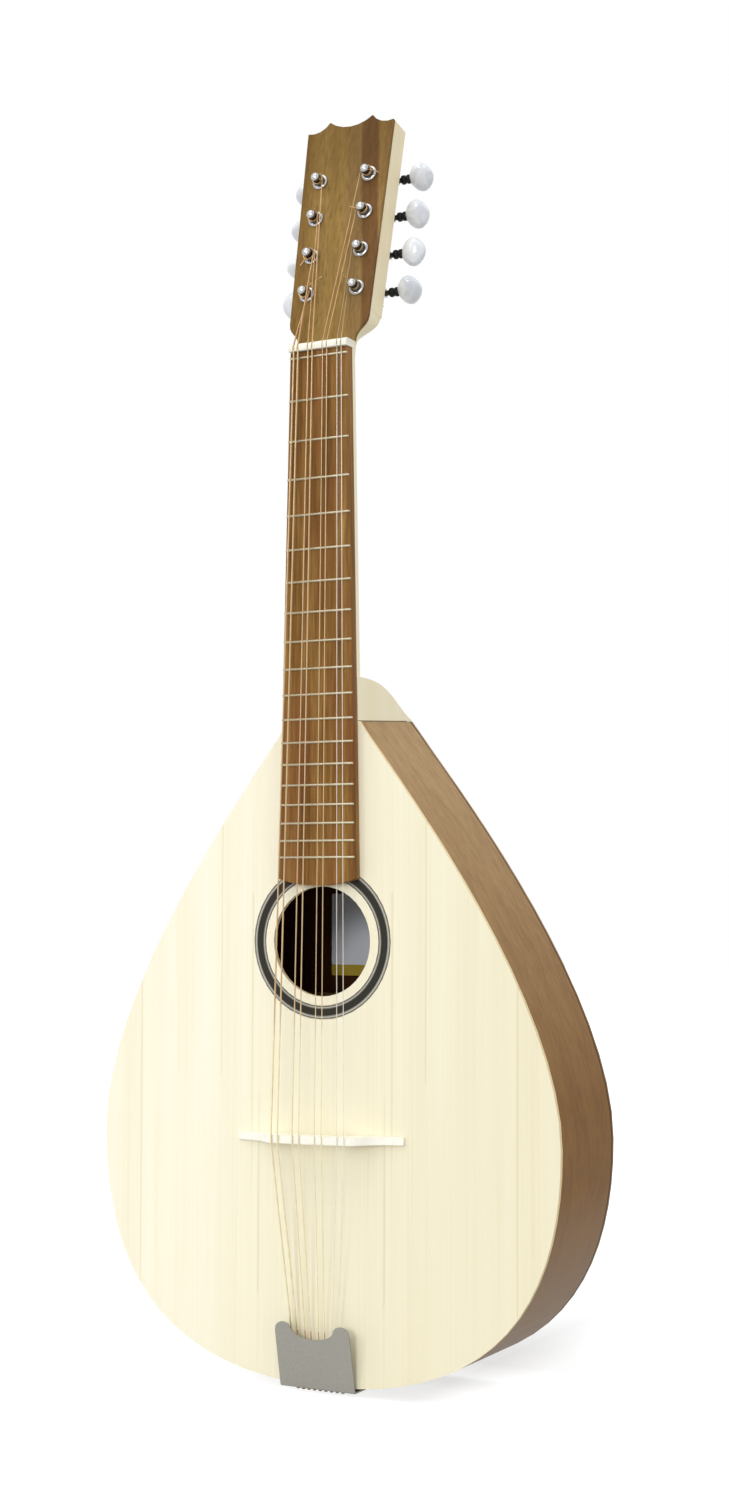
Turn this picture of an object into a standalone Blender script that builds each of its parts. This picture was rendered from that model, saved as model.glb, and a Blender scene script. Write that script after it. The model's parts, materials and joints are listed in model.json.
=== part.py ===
"""Flat-backed mandola with four double courses, standing upright with its soundboard facing -Y.

The origin is where a wall hanger's yoke carries the instrument: in the middle of the neck,
at the zero fret, in the plane of the soundboard. X is to the right as seen from the front.
"""
import math

import bmesh
import bpy
from mathutils import Matrix, Vector

for old in list(bpy.data.objects):
    bpy.data.objects.remove(old, do_unlink=True)

# Driving dimensions, in metres
scale_length = 0.420         # zero fret to bridge
gap = 0.0003                 # left between glued or touching pieces
cut_past = 0.0030            # how far cutters reach past what they cut

body_depth = 0.0733
body_half_width = 0.1371
body_widest = 0.0            # height of the widest line over the bridge line
tail_drop = 0.1294           # tail edge below the bridge line
tail_flatness = 0.103        # how far the tail's flat stretch pulls the outline sideways
lower_pull = 0.0735          # length of the outline's pull below the widest line
upper_pull = 0.0835          # the same above the widest line
neck_joint = 0.221           # heel joint over the bridge line
joint_half_width = 0.022
joint_rise = 0.0055          # how much higher the joint lies at the back
flank_slope = 0.59           # sideways per height where the flank meets the heel
flank_pull = 0.0149
outline_steps = 18

top_thickness = 0.0028
back_thickness = 0.0028
rib_thickness = 0.0022
lining_width = 0.0050
lining_height = 0.0070
lining_thin_height = 0.0040
block_length = 0.021         # neck foot inside the body
tail_block_length = 0.014
tail_block_half_width = 0.028

soundhole_radius = 0.0293
soundhole_height = 0.1038    # centre over the bridge line
rosette_inner = 0.0345
rosette_outer = 0.0412
rosette_depth = 0.0009
soundhole_sides = 40

brace_height = 0.0095
brace_end_height = 0.0030
brace_width = 0.0070
brace_flat_share = 0.66      # of its half length, before it thins towards the end
top_brace_heights = (0.148, 0.060)
back_brace_heights = (0.070, -0.045)

fret_count = 18
fret_height = 0.0009
fret_half_width = 0.00065
board_thickness = 0.0056
board_end = 0.1334           # middle of the fingerboard's end over the bridge line
board_end_bow = 0.0036
zero_fret_half_width = 0.0176
last_fret_half_width = 0.0229

neck_depth_nut = 0.0142
neck_depth_heel = 0.0165
neck_inset = 0.0004          # shaft narrower than the board over it, on each side
neck_fullness = 0.85         # below 1 the shaft's section is fuller than half an ellipse
neck_steps = 10              # faces round the shaft
neck_corner = 2              # of its points, the one that turns into the head's rear corner
heel_rise = 0.0237           # heel's shoulder over the joint
heel_back_half_width = 0.0175
heel_front_depth = 0.0125    # where the heel's curve leaves the shaft
heel_first_pull = (0.0300, 0.0002)   # depth and drop below the shoulder, as in the next four
heel_second_pull = (0.0365, 0.0026)
heel_bend = (0.0480, 0.0073)
heel_third_pull = (0.0560, 0.0112)
heel_last_pull = (0.0650, 0.0163)

nut_start = 0.0036           # over the zero fret
nut_length = 0.0042
nut_height = 0.0013          # over the fret crowns
nut_half_width = 0.0179
slot_half_width = 0.0010
nut_slot_drop = 0.0002       # slots reach this far below the fret crowns

head_tilt = math.radians(12.0)
head_setback = 0.0015        # head's front plane behind the soundboard's plane at the nut
head_root = 0.0057           # where that plane starts, over the zero fret
head_thickness = 0.0150
headplate_thickness = 0.0018
head_throat_half_width = 0.0177
head_flare_half_width = 0.0244
head_flare_start = 0.0038
head_flare_height = 0.0175
head_flare_pull = 0.0065
head_block_start = 0.0225    # from here up the head's section is a full rectangle
headplate_bottom = 0.0030
block_inset = 0.00015        # flare's last section, inside the head's block
head_top_half_width = 0.0271
head_corner_height = 0.1362
head_peak_height = 0.1412
head_peak_offset = 0.0135
head_valley_height = 0.1364
head_corner_round = 0.0052
head_corner_drop = 0.0004

post_offset = 0.0155         # post axes from the centre line
first_post = 0.0343          # lowest post up the head
post_pitch = 0.0232
post_count = 4
post_radius = 0.0029
post_waist_radius = 0.0021
post_cap_radius = 0.0025
post_cap_height = 0.0033
post_length = 0.0076         # over the head's front
post_waist_start = 0.0022    # over the head's front, as the next one
post_shoulder = 0.0015
post_root = 0.0010           # of the post inside its gear
journal_radius = 0.0023
journal_start = 0.0002       # inside the head's back
journal_cone = 0.0004
running_gap = 0.0003         # shafts in their bearings
bushing_wall = 0.0009
bushing_flange_radius = 0.0046
bushing_flange = 0.0010
bushing_depth = 0.0060
post_sides = 10
bushing_sides = 12
hole_sides = 12
bearing_sides = 8

gear_teeth = 14
gear_module = 0.0006
gear_width = 0.0040
gear_addendum = 0.00045
gear_dedendum = 0.00080
worm_pitch_radius = 0.0025
worm_addendum = 0.00045
worm_dedendum = 0.00080
worm_sides = 10
worm_turns = 3
worm_run_out = 0.0004
tooth_play = 0.00016         # taken off each side of every tooth and thread
flank_angle = math.radians(20.0)
worm_depth = 0.0220          # shaft axis behind the head's front

plate_thickness = 0.0015
plate_half_width = 0.0060
plate_corner = 0.0015
plate_hole_play = 0.0004     # round the posts' journals
plate_end = 0.0062           # plate past the outer shafts and posts
ear_thickness = 0.0013
ear_half_width = 0.0026
ear_steps = 4
ear_root = 0.0002            # of the ear inside the plate
ear_clearance = 0.0012       # ear face to the end of the thread
shaft_radius = 0.0015
shaft_end = 0.0006           # past its far ear
collar_radius = 0.0025
collar_waist_radius = 0.0019
collar_rim = 0.0015          # length of its rim at either end
collar_start = 0.0245        # from the centre line
button_start = 0.0299
button_half_length = 0.0069
button_half_height = 0.0080
button_half_thickness = 0.0042
button_end_share = 0.20      # size of its flat ends
button_rings = 7
button_sides = 10
button_socket = 0.0050
left_button_turns = (34.0, 80.0, 65.0, 68.0)   # degrees, lowest key first, top to the front
right_button_turns = (47.0, 14.0, 39.0, 48.0)

bridge_half_length = 0.0500
bridge_thickness = 0.0042
bridge_height = 0.0139
bridge_shoulder_height = 0.0130
bridge_shoulder = 0.0245
bridge_shoulder_pull = 0.0050
bridge_shoulder_drop = 0.0010
bridge_end_height = 0.0020
bridge_arch_height = 0.0060
bridge_arch_half_width = 0.0210
bridge_arch_foot_pull = 0.0040
bridge_arch_middle_pull = 0.0080
bridge_slant = 0.0200        # rise per length, the treble end nearer the neck
bridge_end_pull = 0.0180

tail_half_width = 0.0222
tail_plate_thickness = 0.0009
tail_rise_top = 0.0090       # underside over the soundboard at the horns
tail_rise_bottom = 0.0017
tail_plate_length = 0.0342
tail_leg = 0.0200
tail_edge = 0.0006           # cut off the outer corner of its bend
tail_slot_rise = 0.0028      # string slots, over the leg and behind the soundboard's plane
tail_slot_back = 0.0022
horn_radius = 0.0050
horn_start = math.radians(150.0)   # where the notch's curve runs into the horn
horn_side_pull = 0.0035
notch_depth = 0.0086
notch_pull = 0.0065
notch_side_rise = 0.0030
hook_radius = 0.0010
hook_length = 0.0025
hook_sides = 6
hook_root = 0.0004           # of the hook inside the leg
hook_place = 0.0060          # behind the soundboard's plane

bridge_course_offset = 0.0198
bridge_inner_offset = 0.0067
bridge_pair = 0.0040
bridge_string_shift = -0.0006
nut_course_offset = 0.0133
nut_inner_offset = 0.0045
nut_pair = 0.0026
tail_string_pitch = 0.0034
tail_string_shift = -0.0012   # strings hang a little to the bass side
string_radii = (0.00050, 0.00050, 0.00038, 0.00038, 0.00028, 0.00028, 0.00023, 0.00023)
string_rest_height = 0.0042  # string on its post, over the head's front
string_bend = 0.0010         # size of a string's bend round the tail's edge
string_dip = 0.00025         # of a string behind the bridge's saddle line
string_edge = 0.0002         # from there to the bridge's rear face
string_winding = 0.0006      # turns already on the post under the string

# Places that follow from them
bridge_z = -scale_length
tail_z = bridge_z - tail_drop
joint_z = bridge_z + neck_joint
rib_front = top_thickness + gap
rib_back = body_depth - back_thickness - gap
board_face = gap + board_thickness
crown = board_face + fret_height
worm_offset = gear_module * gear_teeth / 2 + worm_pitch_radius
worm_pitch = math.pi * gear_module
thread_half_root = worm_pitch / 4 - tooth_play + worm_dedendum * math.tan(flank_angle)
worm_reach = worm_turns * worm_pitch / 2 + thread_half_root + worm_run_out


def material(name, color, roughness, metallic=0.0):
    made = bpy.data.materials.new(name)
    made.use_nodes = True
    shader = made.node_tree.nodes["Principled BSDF"]
    shader.inputs["Base Color"].default_value = (*color, 1.0)
    shader.inputs["Roughness"].default_value = roughness
    shader.inputs["Metallic"].default_value = metallic
    return made


spruce = material("spruce", (0.90, 0.84, 0.62), 0.55)
walnut = material("walnut", (0.30, 0.17, 0.09), 0.50)
headplate_walnut = material("headplate walnut", (0.27, 0.16, 0.07), 0.50)
pale_wood = material("pale wood", (0.74, 0.66, 0.46), 0.50)
board_wood = material("fingerboard wood", (0.26, 0.13, 0.07), 0.45)
inner_wood = material("inner wood", (0.55, 0.43, 0.28), 0.70)
bone = material("bone", (0.88, 0.86, 0.76), 0.35)
ring_black = material("rosette", (0.03, 0.03, 0.03), 0.40)
grey_steel = material("grey steel", (0.36, 0.35, 0.33), 0.40, 0.9)
chrome = material("chrome", (0.80, 0.80, 0.82), 0.10, 1.0)
brass = material("brass", (0.75, 0.58, 0.28), 0.25, 1.0)
pearl = material("pearl plastic", (0.78, 0.79, 0.84), 0.20)
bronze = material("bronze string", (0.62, 0.42, 0.22), 0.30, 1.0)
steel_string = material("steel string", (0.75, 0.75, 0.75), 0.25, 1.0)


# Placing and joining
def add_object(name, mesh, finish, parent=None, guide=False):
    made = bpy.data.objects.new(name, mesh)
    bpy.context.scene.collection.objects.link(made)
    if finish is not None and not mesh.materials:
        mesh.materials.append(finish)
    made.parent = parent
    if guide:
        made.hide_render = True
        made.display_type = 'WIRE'
    return made


def finished_mesh(name, shape, smooth_angle=None):
    bmesh.ops.remove_doubles(shape, verts=shape.verts, dist=1e-7)
    bmesh.ops.recalc_face_normals(shape, faces=shape.faces)
    mesh = bpy.data.meshes.new(name)
    shape.to_mesh(mesh)
    shape.free()
    if smooth_angle is not None:
        mesh.shade_smooth()
        mesh.set_sharp_from_angle(angle=math.radians(smooth_angle))
    return mesh


def combine(target, tool, operation):
    step = target.modifiers.new(operation.lower() + " " + tool.name, 'BOOLEAN')
    step.operation = operation
    step.solver = 'EXACT'
    step.object = tool


# Shapes
def sweep(shape, sections, close_ends=True):
    """Bridges a list of equal loops of points, with flat faces over the first and the last."""
    rings = [[shape.verts.new(point) for point in section] for section in sections]
    count = len(rings[0])
    for lower, upper in zip(rings, rings[1:]):
        for i in range(count):
            k = (i + 1) % count
            shape.faces.new((lower[i], lower[k], upper[k], upper[i]))
    if close_ends:
        shape.faces.new(rings[0])
        shape.faces.new(rings[-1])
    return rings


def prism(shape, outline, low, high, place):
    """Extrudes an outline. place(a, b, c) turns its two coordinates and a height into a point."""
    sweep(shape, [[place(a, b, low) for a, b in outline], [place(a, b, high) for a, b in outline]])


def facing_front(x, z, y):
    return Vector((x, y, z))


def side_view(y, z, x):
    return Vector((x, y, z))


def from_below(x, y, z):
    return Vector((x, y, z))


def on_head(x, u, n):
    return Vector((x, u, n))


def turned(shape, profile, sides, center=(0.0, 0.0), start=0.0):
    """Turns (radius, height) pairs about +Z; a zero radius at either end closes the shape."""
    sections = []
    for radius, height in profile:
        ring = []
        for i in range(sides):
            angle = start + math.tau * i / sides
            ring.append(Vector((center[0] + radius * math.cos(angle),
                                center[1] + radius * math.sin(angle), height)))
        sections.append(ring)
    sweep(shape, sections)


def tube_ring(shape, profile, sides, center=(0.0, 0.0)):
    """Turns a closed (radius, height) outline into a ring."""
    sections = []
    for i in range(sides + 1):
        angle = math.tau * i / sides
        sections.append([Vector((center[0] + radius * math.cos(angle),
                                 center[1] + radius * math.sin(angle), height))
                         for radius, height in profile])
    sweep(shape, sections, close_ends=False)


def bezier(start, pull_start, pull_end, end, steps):
    points = []
    for i in range(steps + 1):
        t = i / steps
        s = 1 - t
        points.append(tuple(s ** 3 * a + 3 * s * s * t * b + 3 * s * t * t * c + t ** 3 * d
                            for a, b, c, d in zip(start, pull_start, pull_end, end)))
    return points


def arc_through(start, middle, end, steps):
    """Circular arc through three points of a plane."""
    (ax, ay), (bx, by), (cx, cy) = start, middle, end
    d = 2 * (ax * (by - cy) + bx * (cy - ay) + cx * (ay - by))
    ox = ((ax * ax + ay * ay) * (by - cy) + (bx * bx + by * by) * (cy - ay)
          + (cx * cx + cy * cy) * (ay - by)) / d
    oy = ((ax * ax + ay * ay) * (cx - bx) + (bx * bx + by * by) * (ax - cx)
          + (cx * cx + cy * cy) * (bx - ax)) / d
    radius = math.hypot(ax - ox, ay - oy)
    first = math.atan2(ay - oy, ax - ox)
    last = math.atan2(cy - oy, cx - ox)
    turn = (last - first + math.pi) % math.tau - math.pi
    return [(ox + radius * math.cos(first + turn * i / steps),
             oy + radius * math.sin(first + turn * i / steps)) for i in range(steps + 1)]


def joint_height(y):
    return joint_z + joint_rise * y / body_depth


def joint_half(y):
    return joint_half_width + (heel_back_half_width - joint_half_width) * y / body_depth


def body_half_outline(inset=0.0, y=0.0):
    """Right half of the body's outline as (x, z) at a depth, tail to heel, moved inwards."""
    widest_z = bridge_z + body_widest
    lower = bezier((0.0, tail_z), (tail_flatness, tail_z),
                   (body_half_width, widest_z - lower_pull), (body_half_width, widest_z),
                   outline_steps)
    upper = bezier((body_half_width, widest_z), (body_half_width, widest_z + upper_pull),
                   (joint_half_width + flank_slope * flank_pull, joint_z - flank_pull),
                   (joint_half_width, joint_z), outline_steps)
    points = lower + upper[1:-1] + [(joint_half(y), joint_height(y))]
    moved = []
    for i, (x, z) in enumerate(points):
        before = points[max(i - 1, 0)]
        after = points[min(i + 1, len(points) - 1)]
        along = Vector((after[0] - before[0], after[1] - before[1])).normalized()
        if i == 0:
            along = Vector((1.0, 0.0))
        moved.append((x - along.y * inset, z + along.x * inset))
    return moved


def half_width_at(z, inset=0.0):
    points = body_half_outline(inset)
    for (x0, z0), (x1, z1) in zip(points, points[1:]):
        if z0 <= z <= z1 and z1 > z0:
            return x0 + (x1 - x0) * (z - z0) / (z1 - z0)
    return points[-1][0]


def tail_height_at(x, inset=0.0):
    points = body_half_outline(inset)
    for (x0, z0), (x1, z1) in zip(points, points[1:]):
        if x0 <= abs(x) <= x1:
            return z0 + (z1 - z0) * (abs(x) - x0) / (x1 - x0)
    return points[0][1]


def mirrored(points):
    return [(-x, z) for x, z in reversed(points)]


# Body
def soundboard():
    shape = bmesh.new()
    right = body_half_outline()
    prism(shape, right + mirrored(right)[:-1], 0.0, top_thickness, facing_front)
    board = add_object("soundboard", finished_mesh("soundboard", shape), spruce)
    center_z = bridge_z + soundhole_height

    def round_cutter(name, profile, ring):
        cutter_shape = bmesh.new()
        if ring:
            tube_ring(cutter_shape, profile, soundhole_sides)
        else:
            turned(cutter_shape, profile, soundhole_sides)
        cutter = add_object(name, finished_mesh(name, cutter_shape), None, guide=True)
        cutter.location = (0.0, 0.0, center_z)
        cutter.rotation_euler = (math.radians(90.0), 0.0, 0.0)
        return cutter

    hole = round_cutter("soundhole cutter", [(soundhole_radius, -2 * top_thickness),
                                             (soundhole_radius, top_thickness)], False)
    groove = round_cutter("rosette groove cutter",
                          [(rosette_inner - gap, -rosette_depth - gap),
                           (rosette_outer + gap, -rosette_depth - gap),
                           (rosette_outer + gap, top_thickness),
                           (rosette_inner - gap, top_thickness)], True)
    combine(board, hole, 'DIFFERENCE')
    combine(board, groove, 'DIFFERENCE')

    inlay = bmesh.new()
    tube_ring(inlay, [(rosette_inner, -rosette_depth), (rosette_outer, -rosette_depth),
                      (rosette_outer, 0.0), (rosette_inner, 0.0)], soundhole_sides)
    rosette = add_object("rosette", finished_mesh("rosette", inlay, 40), ring_black)
    rosette.location = (0.0, 0.0, center_z)
    rosette.rotation_euler = (math.radians(90.0), 0.0, 0.0)


def back_plate():
    sections = []
    for y in (body_depth - back_thickness, body_depth):
        right = body_half_outline(0.0, y)
        sections.append([facing_front(x, z, y) for x, z in right + mirrored(right)[:-1]])
    shape = bmesh.new()
    sweep(shape, sections)
    add_object("back_plate", finished_mesh("back_plate", shape), walnut)


def rib(name, side):
    edges = []
    for inset, y in ((0.0, rib_front), (0.0, rib_back),
                     (rib_thickness, rib_back), (rib_thickness, rib_front)):
        edge = body_half_outline(inset, y)
        edge[0] = (gap / 2, edge[0][1])
        edge[-1] = (edge[-1][0], min(edge[-1][1], joint_height(y) - gap))
        edges.append([Vector((side * x, y, z)) for x, z in edge])
    shape = bmesh.new()
    sweep(shape, list(zip(*edges)))
    add_object(name, finished_mesh(name, shape, 40), walnut)


def lining(name, plate_side, direction):
    """Glued strip in the corner of rib and plate, from one side of the neck foot to the other."""
    near = body_half_outline(rib_thickness + gap)
    far = body_half_outline(rib_thickness + gap + lining_width)
    end_z = joint_z - block_length - gap
    pairs = [(a, b) for a, b in zip(near, far) if a[1] < end_z and b[1] < end_z]
    full = [((-a[0], a[1]), (-b[0], b[1])) for a, b in reversed(pairs[1:])] + pairs
    tall = plate_side + direction * lining_height
    thin = plate_side + direction * lining_thin_height
    sections = []
    for (xa, za), (xb, zb) in full:
        sections.append([Vector((xa, plate_side, za)), Vector((xa, tall, za)),
                         Vector((xb, thin, zb)), Vector((xb, plate_side, zb))])
    shape = bmesh.new()
    sweep(shape, sections)
    add_object(name, finished_mesh(name, shape, 40), inner_wood)


def tail_block():
    """Block behind the tail, rebated where the linings run past it."""
    steps = [tail_block_half_width * (i / 4 - 1) for i in range(9)]
    top = tail_z + rib_thickness + lining_width + tail_block_length

    def block(name, inset, low, high, guide):
        edge = [(x, tail_height_at(x, inset)) for x in steps]
        shape = bmesh.new()
        prism(shape, edge + [(steps[-1], top), (steps[0], top)], low, high, facing_front)
        return add_object(name, finished_mesh(name, shape), inner_wood, guide=guide)

    full = block("tail_block", rib_thickness + 2 * gap + lining_width, rib_front, rib_back, False)
    middle = block("tail block middle", rib_thickness + gap, rib_front + lining_height + gap,
                   rib_back - lining_height - gap, True)
    combine(full, middle, 'UNION')


def brace(name, z, plate_side, direction):
    reach = half_width_at(z - brace_width, rib_thickness + 2 * gap + lining_width)
    other = half_width_at(z + brace_width, rib_thickness + 2 * gap + lining_width)
    reach = min(reach, other)
    low = plate_side + direction * brace_end_height
    high = plate_side + direction * brace_height
    outline = [(-reach, plate_side), (reach, plate_side), (reach, low)]
    flat = reach * brace_flat_share
    outline += bezier((reach, low), (0.5 * (reach + flat), low), (0.5 * (reach + flat), high),
                      (flat, high), 5)[1:]
    outline += [(-x, y) for x, y in reversed(outline[3:])] + [(-reach, low)]
    shape = bmesh.new()
    prism(shape, outline, z - brace_width / 2, z + brace_width / 2, from_below)
    add_object(name, finished_mesh(name, shape), inner_wood)


# Neck and fingerboard
def board_half_width(z):
    last_z = bridge_z + scale_length * 2 ** (-fret_count / 12)
    return zero_fret_half_width + (last_fret_half_width - zero_fret_half_width) * z / last_z


def fingerboard():
    """One profile holds the board's face and its fret crowns, and tapers across the neck."""
    top_z = nut_start - gap
    profile = [(-gap, bridge_z + board_end), (-gap, top_z), (-board_face, top_z)]
    for n in range(fret_count + 1):
        z = bridge_z + scale_length * 2 ** (-n / 12)
        for across, rise in ((1.0, 0.0), (0.72, 0.66), (0.0, 1.0), (-0.72, 0.66), (-1.0, 0.0)):
            profile.append((-board_face - fret_height * rise, z + fret_half_width * across))
    profile.append((-board_face, bridge_z + board_end))
    shape = bmesh.new()
    sweep(shape, [[Vector((side * board_half_width(z), y, z)) for y, z in profile]
                  for side in (-1, 1)])
    board = add_object("fingerboard", finished_mesh("fingerboard", shape), board_wood)

    wide = 1.3 * last_fret_half_width
    end_z = bridge_z + board_end
    edge = board_half_width(end_z)
    bow = arc_through((-edge, end_z + board_end_bow), (0.0, end_z), (edge, end_z + board_end_bow), 10)
    low_z = end_z - board_end_bow
    outline = [(-wide, low_z), (wide, low_z), (wide, bow[-1][1] + 0.2 * board_end_bow)]
    outline += list(reversed(bow)) + [(-wide, bow[0][1] + 0.2 * board_end_bow)]
    cutter_shape = bmesh.new()
    prism(cutter_shape, outline, -2 * board_face, board_face, facing_front)
    cutter = add_object("fingerboard end cutter", finished_mesh("end cutter", cutter_shape), None,
                        guide=True)
    combine(board, cutter, 'DIFFERENCE')


def head_matrix():
    turn = Matrix.Rotation(math.radians(90.0) - head_tilt, 4, 'X')
    return Matrix.Translation((0.0, head_setback, head_root)) @ turn


def head_flare():
    return bezier((head_throat_half_width, head_flare_start),
                  (head_throat_half_width, head_flare_start + head_flare_pull),
                  (head_flare_half_width, head_flare_height - head_flare_pull),
                  (head_flare_half_width, head_flare_height), 6)


def head_half_width(u):
    share = (u - head_flare_height) / (head_corner_height - head_flare_height)
    return head_flare_half_width + (head_top_half_width - head_flare_half_width) * share


def head_outline(lower_right):
    """Head's outline as (x, u), u up its face, with three scallops along the top."""
    side = arc_through((head_top_half_width, head_corner_height),
                       (head_top_half_width - head_corner_round, head_corner_height - head_corner_drop),
                       (head_peak_offset, head_peak_height), 4)
    middle = arc_through((head_peak_offset, head_peak_height), (0.0, head_valley_height),
                         (-head_peak_offset, head_peak_height), 6)
    right = lower_right + side[:-1]
    return right + middle + [(-x, u) for x, u in reversed(right)]


def post_places():
    return [(side, i, side * post_offset, first_post + i * post_pitch)
            for side in (-1, 1) for i in range(post_count)]


def head_hole_cutter(head_frame):
    shape = bmesh.new()
    radius = post_radius + running_gap + bushing_wall + gap
    for side, i, x, u in post_places():
        turned(shape, [(radius, -1.5 * head_thickness), (radius, head_thickness)], hole_sides, (x, u))
    return add_object("post hole cutter", finished_mesh("post holes", shape), None, head_frame, True)


def neck_ring(place, corner, widest, front, rear, squareness):
    """Section cut off at its front: a half oval at a squareness of 0, a rectangle at 1.

    The oval is widest at its own depth, at or before the front, where corner is its half width.
    """
    cut = max(0.0, (front - widest) / (rear - widest))
    start = math.asin(cut ** (1 / neck_fullness))
    ring = []
    for i in range(neck_steps + 1):
        angle = start + (math.pi - 2 * start) * i / neck_steps
        x = corner * math.cos(angle) / math.cos(start)
        depth = widest + (rear - widest) * max(0.0, math.sin(angle)) ** neck_fullness
        half = neck_steps / 2
        square_x = corner * max(-1.0, min(1.0, (half - i) / (half - neck_corner)))
        square_depth = front + (rear - front) * min(1.0, i / neck_corner, (neck_steps - i) / neck_corner)
        ring.append(place(x + (square_x - x) * squareness, depth + (square_depth - depth) * squareness))
    return ring


def neck_shaft_rings(low_z, shoulder_z, top_z):
    """Sections from inside the heel up the shaft, and on through the head's flare."""
    rings = []
    for z in (low_z + 0.3 * heel_rise, 0.95 * shoulder_z, 0.5 * shoulder_z, 0.0):
        share = min(1.0, z / shoulder_z)
        rear = neck_depth_nut + (neck_depth_heel - neck_depth_nut) * share
        rings.append(neck_ring(lambda x, y: Vector((x, y, z)), board_half_width(z) - neck_inset,
                               0.0, 0.0, rear, 0.0))
    # this one already leans like the head's sections after it
    rings.append(neck_ring(lambda x, y: Vector((x, y, top_z - y * math.tan(head_tilt))),
                           nut_half_width, 0.0, 0.0, neck_depth_nut, 0.0))
    front = headplate_thickness + gap
    step_u = (top_z + gap - head_root) / math.cos(head_tilt) + front * math.tan(head_tilt)
    before = front + (head_setback + step_u * math.sin(head_tilt)) / math.cos(head_tilt)
    rear = (neck_depth_nut - head_setback - step_u * math.sin(head_tilt)) / math.cos(head_tilt)
    # the last section ends inside the head's block, a little smaller than it
    block = (head_half_width(head_block_start) - block_inset, head_block_start)
    for corner, u in [(head_throat_half_width, step_u)] + head_flare()[1:] + [block]:
        share = (u - step_u) / (head_block_start - step_u)
        inset = block_inset * share
        rings.append(neck_ring(lambda x, depth: head_matrix() @ Vector((x, u, -depth)), corner,
                               front - before * (1 - share) + inset, front + inset,
                               rear + (head_thickness - rear) * share - inset,
                               share * share * (3 - 2 * share)))
    return rings


def neck(hole_cutter):
    """Shaft, heel, foot inside the body and head core, carved from one piece."""
    low_z = joint_z + gap
    shoulder_z = low_z + heel_rise
    shape = bmesh.new()
    sweep(shape, neck_shaft_rings(low_z, shoulder_z, nut_start + nut_length))
    shaft = add_object("neck", finished_mesh("neck", shape, 40), pale_wood)

    pulls = [(y, shoulder_z - drop) for y, drop in
             (heel_first_pull, heel_second_pull, heel_bend, heel_third_pull, heel_last_pull)]
    curve = bezier((heel_front_depth, shoulder_z), pulls[0], pulls[1], pulls[2], 6)
    curve += bezier(pulls[2], pulls[3], pulls[4], (body_depth, joint_height(body_depth) + gap), 5)[1:]
    profile = [(0.0, low_z), (0.0, shoulder_z)] + curve
    narrowing = (joint_half_width - board_half_width(shoulder_z)) / heel_rise
    heel_shape = bmesh.new()
    sweep(heel_shape, [[Vector((side * (joint_half(y) - narrowing * (z - gap - joint_height(y))), y, z))
                        for y, z in profile] for side in (-1, 1)])
    heel = add_object("heel shape", finished_mesh("heel", heel_shape), None, guide=True)

    foot_z = joint_z - block_length
    inset = rib_thickness + gap
    sections = []
    for y in (rib_front, rib_back):
        right = [(half_width_at(foot_z, inset), foot_z)]
        right += [(x, z) for x, z in body_half_outline(inset, y) if foot_z < z < joint_height(y) - gap]
        right += [(joint_half(y) - rib_thickness, joint_height(y) + 3 * gap)]
        sections.append([facing_front(x, z, y) for x, z in right + mirrored(right)])
    foot_shape = bmesh.new()
    sweep(foot_shape, sections)
    foot = add_object("foot shape", finished_mesh("foot", foot_shape), None, guide=True)

    core_shape = bmesh.new()
    low_u = head_block_start - 2 * gap
    prism(core_shape, head_outline([(head_half_width(low_u), low_u)]), -head_thickness,
          -headplate_thickness - gap, on_head)
    bmesh.ops.transform(core_shape, matrix=head_matrix(), verts=core_shape.verts)
    core = add_object("head core shape", finished_mesh("head core", core_shape), None, guide=True)

    for tool in (heel, foot, core):
        combine(shaft, tool, 'UNION')
    combine(shaft, hole_cutter, 'DIFFERENCE')


def headplate(head_frame, hole_cutter):
    shape = bmesh.new()
    prism(shape, head_outline([(head_throat_half_width, headplate_bottom)] + head_flare()),
          -headplate_thickness, 0.0, on_head)
    plate = add_object("headplate", finished_mesh("headplate", shape), headplate_walnut, head_frame)
    combine(plate, hole_cutter, 'DIFFERENCE')


def nut(courses):
    shape = bmesh.new()
    profile = [(-gap, nut_start), (-gap, nut_start + nut_length)]
    profile += bezier((-crown, nut_start + nut_length), (-crown - nut_height, nut_start + nut_length),
                      (-crown - nut_height, nut_start + 0.6 * nut_length),
                      (-crown - nut_height, nut_start), 4)
    prism(shape, profile, -nut_half_width, nut_half_width, side_view)
    block = add_object("nut", finished_mesh("nut", shape), bone)
    slots = bmesh.new()
    for x in courses:
        outline = [(x - slot_half_width, nut_slot_drop - crown), (x + slot_half_width, nut_slot_drop - crown),
                   (x + slot_half_width, -crown - 3 * nut_height),
                   (x - slot_half_width, -crown - 3 * nut_height)]
        prism(slots, outline, nut_start - cut_past, nut_start + nut_length + cut_past, from_below)
    cutter = add_object("nut slot cutter", finished_mesh("nut slots", slots), None, guide=True)
    combine(block, cutter, 'DIFFERENCE')


# Strings, bridge and tailpiece
def course_places(outer, inner, pair):
    """The eight strings from bass to treble, in pairs about four course centres."""
    return [center + half * pair / 2 for center in (-outer, -inner, inner, outer) for half in (-1, 1)]


def bridge_top_at(x):
    share = min(1.0, abs(x) / bridge_shoulder)
    return bridge_height - (bridge_height - bridge_shoulder_height) * share ** 2


def bridge_line_at(x):
    return bridge_z + bridge_slant * x


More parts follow.
